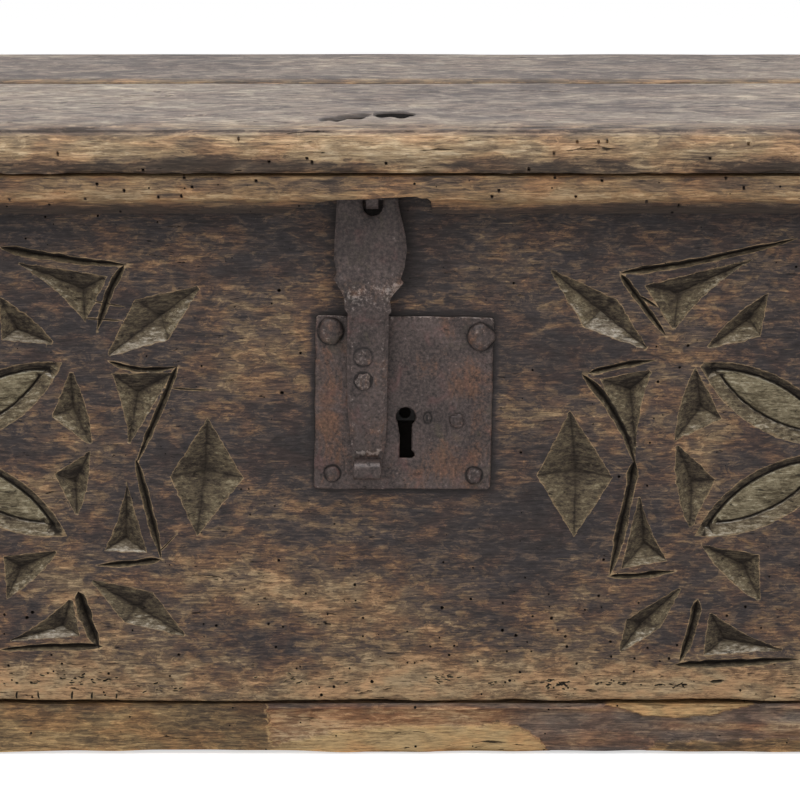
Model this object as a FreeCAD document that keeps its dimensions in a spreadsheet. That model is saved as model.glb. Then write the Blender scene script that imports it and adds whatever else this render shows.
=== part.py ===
"""Six-board coffer chest with a carved front, an iron box lock and a hasp.

Frame: X along the chest, the front faces -Y, Z up from the floor; the origin is the centre of the
underside of the case.  All lengths are in millimetres.
"""
import FreeCAD, Part
import math
import os
import Sketcher

os.makedirs("parts", exist_ok=True)
doc = FreeCAD.newDocument("coffer_chest")
sheet = doc.addObject("Spreadsheet::Sheet", "Sizes")

# ---------------------------------------------------------------- driving dimensions
SIZES = [
    # case
    ("case_length", 1290, "outside length of the case"),
    ("case_depth", 450, "outside depth of the case"),
    ("bottom_thick", 41.3, "thickness of the bottom boards"),
    ("bottom_front_width", 236, "width of the front bottom board"),
    ("wall_height", 407.8, "height of the walls above the bottom boards"),
    ("front_thick", 28, "thickness of the front board"),
    ("back_thick", 26, "thickness of the back board"),
    ("end_thick", 28, "thickness of the end boards"),
    ("tail_count", 4, "dovetails on each corner"),
    ("tail_wide", 66, "width of a dovetail at its end"),
    ("tail_narrow", 50, "width of a dovetail at its root"),
    ("bottom_nail_inset", 70, "first bottom nail from the end of the case"),
    ("bottom_nail_grip", 45, "length of a bottom nail in the wall above"),
    ("bottom_head_radius", 6.5, "radius of the bottom nails' heads"),
    ("bottom_head_rise", 2.4, "height of the bottom nails' heads"),
    ("bottom_head_sink", 1, "bottom nails' heads below the underside of the case"),
    # lid
    ("lid_thick", 30.9, "thickness of the lid boards"),
    ("lid_end_overhang", 32, "lid past the case at each end"),
    ("lid_front_overhang", 30, "lid past the case at the front"),
    ("lid_back_overhang", 28, "lid past the case at the back"),
    ("lid_back_board", 213.9, "width of the rear lid board"),
    ("nose_flat", 13, "upright part of the lid's front edge"),
    ("nose_depth", 12, "depth of the rounded top of the front edge"),
    ("nose_quirk", 1.2, "small step behind the rounded edge"),
    ("nose_radius", 24, "radius of the rounded edge"),
    ("dowel_radius", 6, "radius of the dowels between the lid boards"),
    ("dowel_reach", 30, "length of a dowel in each board"),
    # mouldings under the lid
    ("moulding_drop", 30.6, "height of the mouldings"),
    ("moulding_fascia", 19.5, "upright face of the mouldings"),
    ("moulding_undercut", 13, "how far the lower edge falls back"),
    ("moulding_setback", 2, "moulding behind the lid's edge"),
    ("moulding_gap", 1, "running gap between moulding and case"),
    ("end_moulding_gap", 2, "running gap between end moulding and case"),
    ("moulding_nail_grip", 20, "length of a moulding nail in the lid"),
    ("moulding_head_radius", 4.5, "radius of the moulding nails' heads"),
    ("moulding_head_rise", 2.4, "height of the moulding nails' heads"),
    ("moulding_head_sink", 0.4, "moulding nails' heads above the underside of the moulding"),
    # notch over the hasp
    ("notch_left", 57.2, "left end of the notch from the centre"),
    ("notch_right", 37.3, "right end of the notch from the centre"),
    ("notch_rise", 10.1, "height of the notch"),
    ("notch_slope", 58, "length of the sloping left shoulder"),
    ("notch_toe", 0.14, "height of the left shoulder's toe as a share of the notch"),
    ("notch_knee", 0.71, "height of the shoulders' knees as a share of the notch"),
    ("notch_knee_run", 0.43, "left knee along the slope as a share of it"),
    ("notch_lip", 8.8, "thickness of the moulding left in front of the hasp"),
    ("pocket_rise", 22.5, "height of the pocket behind that lip"),
    ("pocket_side_gap", 3.5, "room beside the hasp in the pocket"),
    # wire hinges at the back
    ("hinge_spread", 400, "hinges from the centre of the chest"),
    ("hinge_drop", 10, "hinge axis below the lid"),
    ("wire_radius", 2.25, "radius of the hinge wire"),
    ("case_eye_radius", 6.1, "centre line radius of the eye on the case"),
    ("lid_eye_radius", 5.6, "centre line radius of the eye on the lid"),
    ("leg_gap", 0.1, "gap between the two legs of a pin"),
    ("clinch_bend", 4, "bend radius of the clinched legs"),
    ("case_clinch", 16, "length of the tips clinched inside the case"),
    ("lid_clinch", 6, "length of the tips clinched on the lid"),
    ("leg_hole_room", 0.6, "room round the legs in their hole"),
    # hasp
    ("hasp_centre", -8.2, "centre line of the hasp along the chest"),
    ("hasp_thick", 4, "thickness of the hasp"),
    ("hasp_axis_drop", 19.1, "hasp pivot below the lid"),
    ("hasp_axis_out", 10, "hasp pivot in front of the front board"),
    ("hasp_bridge", 4.4, "height of the bar over the hasp's hole"),
    ("hasp_hole_radius", 7.2, "radius of the hasp's hole"),
    ("hasp_hole_x", -5.7, "centre of the hasp's hole"),
    ("hasp_hole_height", 10.1, "height of the hasp's hole"),
    ("spade_top_half", 23.8, "half width of the hasp at its top"),
    ("spade_half", 26.8, "half width of the hasp at the bottom of the spade"),
    ("spade_drop", 47, "widest part of the spade below the pivot"),
    ("shoulder_half", 24.4, "half width at the pointed shoulder"),
    ("shoulder_drop", 59, "shoulder below the pivot"),
    ("neck_half", 15.4, "half width of the neck"),
    ("neck_drop", 76.6, "neck below the pivot"),
    ("collar_half", 17.2, "half width of the collar under the neck"),
    ("collar_drop", 87, "collar below the pivot"),
    ("collar_step", 0.6, "height of the step from the collar to the shaft"),
    ("shaft_half", 15.4, "half width of the shaft"),
    ("shaft_drop", 134.8, "end of the parallel shaft below the pivot"),
    ("taper_half", 13.6, "half width where the foot begins"),
    ("taper_drop", 172.4, "start of the foot below the pivot"),
    ("foot_half", 10.4, "half width of the foot"),
    ("foot_drop", 188, "foot below the pivot"),
    ("curl_drop", 202.2, "centre of the thumb curl below the pivot"),
    ("curl_radius", 7.8, "outside radius of the thumb curl"),
    ("curl_thick", 3.6, "thickness of the metal in the curl"),
    ("waist_out", 12.6, "back of the neck in front of the board"),
    ("hasp_foot_gap", 0.5, "gap between foot and lock plate"),
    ("pin_band", 9, "width of the hasp pin's band"),
    ("pin_eye_inner", 5, "inside radius of the hasp pin's eye"),
    ("pin_eye_outer", 8.6, "outside radius of the hasp pin's eye"),
    ("pin_shank", 5.2, "thickness of the hasp pin's shank"),
    ("pin_grip", 22, "length of the hasp pin in the lid board"),
    # lock plate
    ("plate_x", 17, "centre of the lock plate along the chest"),
    ("plate_z", 274.9, "centre of the lock plate above the floor"),
    ("plate_width", 130.3, "width of the lock plate"),
    ("plate_height", 130.7, "height of the lock plate"),
    ("plate_thick", 2.6, "thickness of the lock plate"),
    ("plate_lean", 1.1, "sideways lean of the plate's top and bottom"),
    ("key_x", 18.1, "keyhole along the chest"),
    ("key_z", 264.2, "keyhole above the floor"),
    ("key_radius", 7, "radius of the round part of the keyhole"),
    ("key_slot", 8.8, "width of the keyhole's slot"),
    ("key_slot_drop", 31.3, "keyhole's slot below its round part"),
    ("plate_nail_inset_x", 11.5, "plate nails from the sides of the plate"),
    ("plate_nail_inset_top", 11.6, "upper plate nails from the top of the plate"),
    ("plate_nail_inset_low", 13, "lower plate nails from the bottom of the plate"),
    ("upper_head_radius", 9.2, "radius of the upper plate nails' heads"),
    ("lower_head_radius", 6.2, "radius of the lower plate nails' heads"),
    ("upper_head_rise", 4.2, "height of the upper plate nails' heads"),
    ("lower_head_rise", 2.8, "height of the lower plate nails' heads"),
    ("head_crown", 0.62, "top of a nail's head as a share of its foot"),
    ("nail_radius", 2.4, "radius of a nail's shank"),
    ("nail_fit", 0.05, "clearance of a nail in its hole"),
    ("plate_nail_grip", 22, "length of a plate nail in the board"),
    # lock works
    ("mortise_depth", 20, "depth of the lock mortise"),
    ("mortise_margin_x", 14, "plate past the mortise at each side"),
    ("mortise_margin_z", 18.5, "plate past the mortise at top and bottom"),
    ("bolt_z", 303.5, "centre of the bolt above the floor"),
    ("bolt_height", 10, "height of the bolt"),
    ("bolt_thick", 5, "thickness of the bolt"),
    ("bolt_length", 72, "length of the bolt"),
    ("bolt_tip_room", 3, "unlocked bolt from the hasp's loop"),
    ("bolt_throw", 18, "travel of the bolt"),
    ("bolt_plate_gap", 0.4, "gap between bolt and plate"),
    ("talon_drop", 8, "height of the talons under the bolt"),
    ("talon_width", 5, "width of a talon"),
    ("talon_lead", 1, "left talon's near side past the key's centre line"),
    ("talon_gap", 14, "space between the talons"),
    ("guide_width", 5, "width of a bolt guide"),
    ("guide_talon_room", 0.8, "room between a talon and a guide at the end of its travel"),
    ("guide_wall", 3, "thickness of a bolt guide"),
    ("slide_fit", 0.35, "clearance of the bolt in its guides"),
    ("loop_x", -12.6, "centre of the hasp's loop along the chest"),
    ("loop_radius", 3, "radius of the loop's legs"),
    ("loop_spread", 18, "distance between the loop's legs"),
    ("loop_bridge", 4, "thickness of the loop's inner bar"),
    ("loop_slot_room", 2, "room round the loop in the plate"),
    ("loop_head_radius", 6, "radius of the loop's riveted heads"),
    ("loop_head_rise", 1.8, "height of the loop's riveted heads"),
    ("loop_head_crown", 0.7, "top of a riveted head as a share of its foot"),
    ("loop_head_seat", 0.9, "how deep the riveted heads are let into the strap"),
    ("loop_bolt_room", 0.6, "room between the bolt and the loop's inner bar"),
    ("rivet_x", 56.5, "bridge rivet along the chest"),
    ("rivet_z", 261.9, "bridge rivet above the floor"),
    ("rivet_radius", 5, "radius of the bridge rivet's head"),
    ("rivet_tail_radius", 2.9, "radius of the bridge rivet's hidden head"),
    ("rivet_rise", 1.4, "height of the bridge rivet's head"),
    ("rivet_crown", 0.6, "top of the bridge rivet's heads as a share of their foot"),
    ("ward_radius", 16.2, "radius of the collar ward"),
    ("ward_thick", 1.6, "thickness of the collar ward"),
    ("ward_height", 7, "height of the collar ward behind the plate"),
    ("ward_tenon_height", 4.8, "height of the ward's tenon through the plate"),
    ("bridge_height", 16, "height of the key bridge behind the plate"),
    ("bridge_strip", 12, "width of the key bridge"),
    ("bridge_thick", 2, "thickness of the key bridge"),
    ("bridge_reach", 20, "key bridge past the keyhole"),
    ("spring_thick", 1.2, "thickness of the bolt spring"),
    ("spring_width", 4.4, "width of the bolt spring"),
    # carving
    ("roundel_x", 348.7, "centres of the roundels from the centre of the chest"),
    ("roundel_z", 239, "centres of the roundels above the floor"),
    ("petal_radius", 132, "compass radius of the six petals"),
    ("petal_bevel", 7.5, "width of the bevel round a petal"),
    ("petal_depth", 4.6, "depth of the line round a leaf"),
    ("chip_depth", 6.5, "depth of the triangular chips"),
    ("lozenge_depth", 6.5, "depth of the lozenges"),
    ("diamond_depth", 9, "depth of the diamonds"),
    ("stroke_width", 5, "width of the cut lines"),
    ("stroke_depth", 3.4, "depth of the cut lines"),
    ("diamond_right_x", 144.1, "diamond right of the lock from the centre of the chest"),
    ("diamond_left_x", 129.1, "diamond left of the lock from the centre of the chest"),
    ("diamond_z", 219.4, "diamonds above the floor"),
    ("diamond_half_width", 27.6, "half width of a diamond"),
    ("diamond_half_height", 47, "half height of a diamond"),
]
for row, (alias, number, note) in enumerate(SIZES, start=1):
    sheet.set("A%d" % row, note)
    sheet.set("B%d" % row, str(number))
    sheet.setAlias("B%d" % row, alias)
doc.recompute()


class Length:
    """A number together with the sheet expression that it comes from."""

    def __init__(self, number, text):
        self.number = float(number)
        self.text = text

    def __add__(self, other):
        other = as_length(other)
        return Length(self.number + other.number, "(%s + %s)" % (self.text, other.text))

    def __sub__(self, other):
        other = as_length(other)
        return Length(self.number - other.number, "(%s - %s)" % (self.text, other.text))

    def __mul__(self, other):
        other = as_length(other)
        return Length(self.number * other.number, "(%s * %s)" % (self.text, other.text))

    def __truediv__(self, other):
        other = as_length(other)
        return Length(self.number / other.number, "(%s / %s)" % (self.text, other.text))

    def __neg__(self):
        return Length(-self.number, "(0 - %s)" % self.text)


def as_length(value):
    """Make a Length of a plain number, or pass a Length through."""
    return value if isinstance(value, Length) else Length(value, str(value))


class Cells:
    """Reads a cell of the sheet as a Length by its alias."""

    def __getattr__(self, alias):
        return Length(sheet.get(alias), "Sizes." + alias)


s = Cells()
nodes = []
# cutting solids run this far past the surface that they open
OVER = 1.0
# where nails and dowels sit, as shares of half the run that they fasten
WALL_NAILS = (-1.0, -0.5, 0.0, 0.5, 1.0)
FRONT_MOULDING_NAILS = (-0.9, -0.55, -0.2, 0.2, 0.55, 0.9)
LID_DOWELS = (-0.75, -0.25, 0.25, 0.75)
# and as shares of the depth of the case
END_WALL_NAILS = (-0.25, 0.25)
SIDE_MOULDING_NAILS = (-0.3, 0.0, 0.25, 0.45)


# ---------------------------------------------------------------- building blocks
def bind(thing, name, length):
    """Bind one property of an object to the sheet."""
    thing.setExpression(name, as_length(length).text)


def put(thing, point, rotation=None):
    """Place an object at a point whose coordinates stay bound to the sheet."""
    corner = [as_length(value) for value in point]
    vector = FreeCAD.Vector(*[value.number for value in corner])
    thing.Placement = FreeCAD.Placement(vector, rotation or FreeCAD.Rotation())
    for axis, value in zip("xyz", corner):
        bind(thing, "Placement.Base." + axis, value)


def shift(point, direction, distance):
    """Move a point by a distance along a direction made of -1, 0 and 1."""
    distance = as_length(distance)
    moved = []
    for value, step in zip(point, direction):
        moved.append(as_length(value) + distance * step if step else as_length(value))
    return tuple(moved)


def turn(local_x, local_y):
    """Rotation that carries the X and Y axes to two given directions."""
    first = FreeCAD.Vector(*local_x)
    second = FreeCAD.Vector(*local_y)
    return FreeCAD.Rotation(first, second, first.cross(second), "ZXY")


def block(name, low, high):
    """Rectangular block between two corners."""
    thing = doc.addObject("Part::Box", name)
    for prop, near, far in zip(("Length", "Width", "Height"), low, high):
        bind(thing, prop, as_length(far) - near)
    put(thing, low)
    return thing


def rod(name, start, direction, radius, length):
    """Round rod from a start point along a direction."""
    thing = doc.addObject("Part::Cylinder", name)
    bind(thing, "Radius", radius)
    bind(thing, "Height", length)
    put(thing, start, FreeCAD.Rotation(FreeCAD.Vector(0, 0, 1), FreeCAD.Vector(*direction)))
    return thing


def dome(name, start, direction, radius, rise, top_share):
    """Low hammered head: a cone frustum from its seat to a smaller top."""
    thing = doc.addObject("Part::Cone", name)
    bind(thing, "Radius1", radius)
    bind(thing, "Radius2", radius * top_share)
    bind(thing, "Height", rise)
    put(thing, start, FreeCAD.Rotation(FreeCAD.Vector(0, 0, 1), FreeCAD.Vector(*direction)))
    return thing


def ring(name, centre, rotation, ring_radius, wire_radius, angle=360):
    """Ring of round wire; an angle under 360 makes a bend that starts on the local X axis."""
    thing = doc.addObject("Part::Torus", name)
    bind(thing, "Radius1", ring_radius)
    bind(thing, "Radius2", wire_radius)
    thing.Angle3 = angle
    put(thing, centre, rotation)
    return thing


def fuse(name, things):
    """Union of several objects."""
    thing = doc.addObject("Part::MultiFuse", name)
    thing.Shapes = things
    thing.Refine = True
    return thing


def cut(name, base, tools):
    """One object less one or more others."""
    thing = doc.addObject("Part::Cut", name)
    thing.Base = base
    thing.Tool = tools[0] if len(tools) == 1 else fuse(name + "_tools", tools)
    return thing


def common(name, first, second):
    """What two objects share."""
    thing = doc.addObject("Part::Common", name)
    thing.Base = first
    thing.Tool = second
    return thing


def pad(name, plane, outline, place, thickness):
    """Body padded from an outline on one of its own planes.

    An outline point is (across, up) or (across, up, radius); a radius makes the side that leaves
    the point an arc that bulges to the left of its travel.
    """
    body = doc.addObject("PartDesign::Body", name)
    sketch = body.newObject("Sketcher::SketchObject", name + "_outline")
    origin_plane = [item for item in body.Origin.OriginFeatures if item.Role == plane][0]
    sketch.AttachmentSupport = [(origin_plane, "")]
    sketch.MapMode = "FlatFace"
    points = [(as_length(point[0]), as_length(point[1])) for point in outline]
    radii = [as_length(point[2]) if len(point) > 2 else None for point in outline]
    count = len(points)
    flat = [FreeCAD.Vector(across.number, up.number, 0) for across, up in points]
    starts = []
    for index in range(count):
        first = flat[index]
        last = flat[(index + 1) % count]
        if radii[index] is None:
            sketch.addGeometry(Part.LineSegment(first, last), False)
            starts.append((index, 1))
            continue
        chord = last - first
        left = FreeCAD.Vector(-chord.y, chord.x, 0).normalize()
        radius = radii[index].number
        sagitta = radius - math.sqrt(radius ** 2 - (chord.Length / 2) ** 2)
        middle = (first + last) / 2 + left * sagitta
        arc = Part.Arc(first, middle, last)
        sketch.addGeometry(arc, False)
        # an arc bulging to the left of its travel runs clockwise, so its sketch ends are swapped
        starts.append((index, 2))
        number = sketch.addConstraint(Sketcher.Constraint("Radius", index, radius))
        bind(sketch, "Constraints[%d]" % number, radii[index])
    for index in range(count):
        geometry, start = starts[index]
        before, before_start = starts[index - 1]
        sketch.addConstraint(Sketcher.Constraint("Coincident", before, 3 - before_start, geometry, start))
    for index in range(count):
        geometry, start = starts[index]
        for kind, value in zip(("DistanceX", "DistanceY"), points[index]):
            rule = Sketcher.Constraint(kind, -1, 1, geometry, start, value.number)
            number = sketch.addConstraint(rule)
            bind(sketch, "Constraints[%d]" % number, value)
    feature = body.newObject("PartDesign::Pad", name + "_pad")
    feature.Profile = sketch
    bind(feature, "Length", thickness)
    put(body, place)
    return body


def node(name, thing):
    """Give a finished sub-part the name of its node."""
    thing.Label = name
    nodes.append(thing)
    return thing


def nails(name, seats, direction, head_radius, head_rise, grip, sink=None):
    """A group of like nails and the holes that they need.

    Each seat is the centre of a head's underside.  A head with a sink lies that far below its
    surface, so its hole has a counterbore.
    """
    back = tuple(-step for step in direction)
    solids = []
    holes = []
    for index, seat in enumerate(seats):
        label = "%s_%d" % (name, index)
        solids.append(dome(label + "_head", seat, back, head_radius, head_rise, s.head_crown))
        solids.append(rod(label + "_shank", seat, direction, s.nail_radius, grip))
        holes.append(rod(label + "_hole", seat, direction, s.nail_radius + s.nail_fit, grip + s.nail_fit))
        if sink:
            holes.append(rod(label + "_bore", seat, back, head_radius + s.nail_fit, head_rise + sink + OVER))
    return fuse(name, solids), holes


def split_pin(name, eye, eye_turn, eye_radius, legs, spread, through, clinch):
    """Folded wire pin: an eye, two legs side by side and tips clinched outwards.

    `legs` is the direction of the legs, `spread` the direction across them, `through` the distance
    from the eye's centre to the face that the tips lie on, and `clinch` the length of the tips.
    """
    pieces = [ring(name + "_eye", eye, eye_turn, eye_radius, s.wire_radius)]
    apart = s.wire_radius + s.leg_gap / 2
    straight = through + s.wire_radius + s.leg_gap / 2 - s.clinch_bend
    for side in (-1, 1):
        label = "%s_%s" % (name, "a" if side < 0 else "b")
        outward = tuple(side * step for step in spread)
        inward = tuple(-step for step in outward)
        foot = shift(shift(eye, outward, apart), legs, eye_radius)
        pieces.append(rod(label + "_leg", foot, legs, s.wire_radius, straight - eye_radius))
        bend = shift(shift(shift(eye, outward, apart), legs, straight), outward, s.clinch_bend)
        pieces.append(ring(label + "_bend", bend, turn(inward, legs), s.clinch_bend, s.wire_radius, 90))
        tip = shift(bend, legs, s.clinch_bend)
        pieces.append(rod(label + "_tip", tip, outward, s.wire_radius, clinch))
    hole_radius = s.wire_radius * 2 + s.leg_gap / 2 + s.leg_hole_room
    hole = rod(name + "_hole", shift(eye, legs, eye_radius), legs, hole_radius, through - eye_radius + OVER)
    return fuse(name, pieces), hole


# ---------------------------------------------------------------- shared levels
UP, DOWN = (0, 0, 1), (0, 0, -1)
FRONTWARD, BACKWARD = (0, -1, 0), (0, 1, 0)
RIGHT, LEFT = (1, 0, 0), (-1, 0, 0)

half_length = s.case_length / 2
front_y = -(s.case_depth / 2)
back_y = s.case_depth / 2
front_inner = front_y + s.front_thick
back_inner = back_y - s.back_thick
wall_low = s.bottom_thick
wall_top = s.bottom_thick + s.wall_height
lid_top = wall_top + s.lid_thick
lid_half = half_length + s.lid_end_overhang
lid_front = front_y - s.lid_front_overhang
lid_back = back_y + s.lid_back_overhang
lid_joint = lid_back - s.lid_back_board
plate_front = front_y - s.plate_thick
mortise_floor = front_y + s.mortise_depth


# ---------------------------------------------------------------- bottom boards and their nails
def wall_nail_seats():
    """Underside of the nail heads, below the middle of each wall."""
    level = s.bottom_head_rise + s.bottom_head_sink
    span = half_length - s.bottom_nail_inset
    seats = []
    for middle in (front_y + s.front_thick / 2, back_y - s.back_thick / 2):
        for share in WALL_NAILS:
            seats.append((span * share, middle, level))
    for side in (-1, 1):
        for share in END_WALL_NAILS:
            seats.append(((half_length - s.end_thick / 2) * side, s.case_depth * share, level))
    return seats


bottom_nails, bottom_holes = nails(
    "bottom_nails", wall_nail_seats(), UP, s.bottom_head_radius, s.bottom_head_rise,
    s.bottom_thick + s.bottom_nail_grip, s.bottom_head_sink)
node("bottom_nails", bottom_nails)
nail_room = fuse("bottom_nail_room", bottom_holes)
bottom_joint = front_y + s.bottom_front_width
front_plank = block("bottom_front_blank", (-half_length, front_y, 0), (half_length, bottom_joint, wall_low))
back_plank = block("bottom_back_blank", (-half_length, bottom_joint, 0), (half_length, back_y, wall_low))
node("bottom_board_front", cut("bottom_board_front", front_plank, [nail_room]))
node("bottom_board_back", cut("bottom_board_back", back_plank, [nail_room]))


# ---------------------------------------------------------------- dovetailed walls
def dovetails(name, side, rear):
    """Tails of one end board that reach through the front or the back board."""
    tails = []
    thick = s.back_thick if rear else s.front_thick
    outer = half_length * side
    inner = (half_length - s.end_thick) * side
    count = int(s.tail_count.number)
    for index in range(count):
        middle = wall_low + s.wall_height * ((index + 0.5) / count)
        tail = doc.addObject("Part::Wedge", "%s_%d" % (name, index))
        for prop, value in (("Xmin", 0), ("X2min", 0), ("Xmax", s.end_thick), ("X2max", s.end_thick),
                            ("Ymin", 0), ("Ymax", thick)):
            bind(tail, prop, value)
        near, far = (s.tail_narrow, s.tail_wide) if rear else (s.tail_wide, s.tail_narrow)
        bind(tail, "Zmin", -near / 2)
        bind(tail, "Zmax", near / 2)
        bind(tail, "Z2min", -far / 2)
        bind(tail, "Z2max", far / 2)
        put(tail, (inner if side > 0 else outer, back_inner if rear else front_y, middle))
        tails.append(tail)
    return tails


tails_front_left = dovetails("tail_front_left", -1, False)
tails_front_right = dovetails("tail_front_right", 1, False)
tails_back_left = dovetails("tail_back_left", -1, True)
tails_back_right = dovetails("tail_back_right", 1, True)

for side, label, front_tails, back_tails in ((-1, "left", tails_front_left, tails_back_left),
                                             (1, "right", tails_front_right, tails_back_right)):
    outer = half_length * side
    inner = (half_length - s.end_thick) * side
    low_x, high_x = (inner, outer) if side > 0 else (outer, inner)
    blank = block("end_blank_" + label, (low_x, front_inner, wall_low), (high_x, back_inner, wall_top))
    joined = fuse("end_joined_" + label, [blank] + front_tails + back_tails)
    node("end_board_" + label, cut("end_board_" + label, joined, [nail_room]))


# ---------------------------------------------------------------- wire hinges
hinge_z = wall_top - s.hinge_drop
case_eye_y = back_y + s.leg_gap + s.wire_radius + s.case_eye_radius
hinge_y = case_eye_y + s.case_eye_radius
case_pin_holes = []
lid_pin_holes = []
for side, label in ((-1, "left"), (1, "right")):
    hinge_x = s.hinge_spread * side
    pin, hole = split_pin("hinge_case_pin_" + label, (hinge_x, case_eye_y, hinge_z), FreeCAD.Rotation(),
                          s.case_eye_radius, FRONTWARD, RIGHT, case_eye_y - back_inner, s.case_clinch)
    node("hinge_case_pin_" + label, pin)
    case_pin_holes.append(hole)
    pin, hole = split_pin("hinge_lid_pin_" + label, (hinge_x, hinge_y, hinge_z), turn(BACKWARD, UP),
                          s.lid_eye_radius, UP, BACKWARD, lid_top - hinge_z, s.lid_clinch)
    node("hinge_lid_pin_" + label, pin)
    lid_pin_holes.append(hole)

back_blank = block("back_blank", (-half_length, back_inner, wall_low), (half_length, back_y, wall_top))
back_jointed = cut("back_jointed", back_blank, tails_back_left + tails_back_right)
node("back_board", cut("back_board", back_jointed, [nail_room] + case_pin_holes))


# ---------------------------------------------------------------- carving of the front board
# Points are (angle in degrees, distance from the roundel's centre), for the side of each roundel
# that faces the lock; the other side is its mirror image.  The last point of a chip or a lozenge is
# where its sides meet at the bottom.
CARVING = {
    1: {
        "outer_chips": [
            ((117.4, 162.5), (146.2, 160.8), (141.4, 198.7), (138.0, 174.9)),
            ((157.6, 160.3), (182.4, 159.5), (164.0, 194.1), (164.9, 169.7)),
            ((192.2, 159.8), (212.4, 159.6), (208.5, 191.8), (206.1, 168.5)),
            ((230.6, 160.9), (254.4, 161.7), (236.6, 191.4), (239.2, 174.2)),
        ],
        "inner_chips": [
            ((118.8, 134.8), (145.3, 133.8), (129.2, 110.7), (128.5, 124.5)),
            ((151.7, 132.4), (177.2, 131.5), (166.2, 99.5), (164.5, 115.6)),
            ((177.5, 129.9), (207.7, 133.1), (192.7, 102.9), (192.9, 119.7)),
            ((213.7, 131.4), (241.8, 134.5), (230.8, 104.5), (229.7, 118.9)),
        ],
        "lozenges": [
            ((148.8, 264.5), (155.0, 219.4), (153.5, 168.8), (147.1, 209.4), (151.0, 213.9)),
            ((220.7, 161.8), (218.7, 210.2), (223.2, 232.7), (224.9, 195.8), (221.9, 204.1)),
        ],
        "strokes": [
            ((142.4, 218.8), (106.0, 165.2)), ((142.6, 218.3), (148.2, 163.3)),
            ((163.5, 204.4), (155.1, 161.6)), ((164.0, 208.4), (184.7, 160.1)),
            ((182.7, 160.3), (208.7, 202.3)), ((208.8, 202.5), (216.2, 158.8)),
            ((226.3, 160.2), (233.3, 207.0)), ((232.7, 210.5), (258.8, 166.2)),
        ],
    },
    -1: {
        "outer_chips": [
            ((120.3, 163.6), (143.8, 164.1), (138.8, 198.3), (137.5, 177.0)),
            ((159.1, 161.6), (179.0, 162.1), (163.3, 204.1), (166.2, 174.2)),
            ((188.7, 162.0), (208.7, 162.0), (204.5, 190.9), (203.9, 172.7)),
            ((224.3, 163.0), (245.7, 163.3), (229.8, 189.1), (232.0, 176.4)),
        ],
        "inner_chips": [
            ((121.0, 135.2), (144.0, 136.0), (130.6, 109.5), (132.0, 120.9)),
            ((153.1, 135.3), (179.0, 135.1), (166.6, 109.4), (166.0, 124.7)),
            ((180.4, 133.5), (203.1, 133.1), (189.9, 108.1), (192.0, 124.0)),
            ((215.5, 133.1), (239.4, 134.0), (231.0, 106.0), (229.7, 121.6)),
        ],
        "lozenges": [
            ((150.4, 250.7), (156.5, 210.3), (154.5, 162.9), (146.2, 203.7), (151.9, 212.3)),
            ((217.4, 164.0), (220.6, 205.5), (215.6, 249.9), (211.8, 209.0), (216.9, 206.4)),
        ],
        "strokes": [
            ((115.3, 168.3), (139.7, 215.2)), ((139.3, 213.4), (147.4, 167.3)),
            ((155.7, 163.3), (162.4, 210.2)), ((162.3, 209.0), (183.6, 167.7)),
            ((182.3, 167.2), (204.7, 203.2)), ((204.7, 202.9), (213.2, 162.7)),
            ((222.0, 163.7), (228.6, 206.5)), ((227.6, 206.8), (248.4, 167.3)),
        ],
    },
}


def flat_point(polar, depth=0.0):
    """Point of a roundel from (angle, distance) at a depth behind the board's face."""
    angle = math.radians(polar[0])
    return FreeCAD.Vector(polar[1] * math.cos(angle), depth, polar[1] * math.sin(angle))


def pyramid(points, depth, bowed=False):
    """Chip cutter: the outline on the face drawn to its last point at a depth below the face.

    The first side of a bowed chip follows a curve round the roundel's centre.
    """
    corners, low = points[:-1], points[-1]
    # the outline is spread so that the sloping sides pass through the corners on the face
    growth = 1 + OVER / depth

    def spread(point):
        return low + (point - low) * growth - FreeCAD.Vector(0, OVER, 0)

    edges = []
    for index, corner in enumerate(corners):
        following = corners[(index + 1) % len(corners)]
        if index == 0 and bowed:
            reach = (corner.Length + following.Length) / 2
            crown = (corner + following).normalize() * reach
            edges.append(Part.Arc(spread(corner), spread(crown), spread(following)).toShape())
        else:
            edges.append(Part.makeLine(spread(corner), spread(following)))
    lowest = Part.Vertex(low + FreeCAD.Vector(0, depth, 0))
    return Part.makeLoft([Part.Wire(edges), lowest], True, True)


def stroke(first, last, width, depth):
    """Straight V-shaped cut line between two points on the face."""
    along = last - first
    side = FreeCAD.Vector(along.z, 0, -along.x).normalize()
    reach = width / 2 * (1 + OVER / depth)
    raise_out = FreeCAD.Vector(0, -OVER, 0)
    corners = [first + side * reach + raise_out, first - side * reach + raise_out,
               first + FreeCAD.Vector(0, depth, 0)]
    face = Part.Face(Part.makePolygon(corners + corners[:1]))
    return face.extrude(along)


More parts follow.
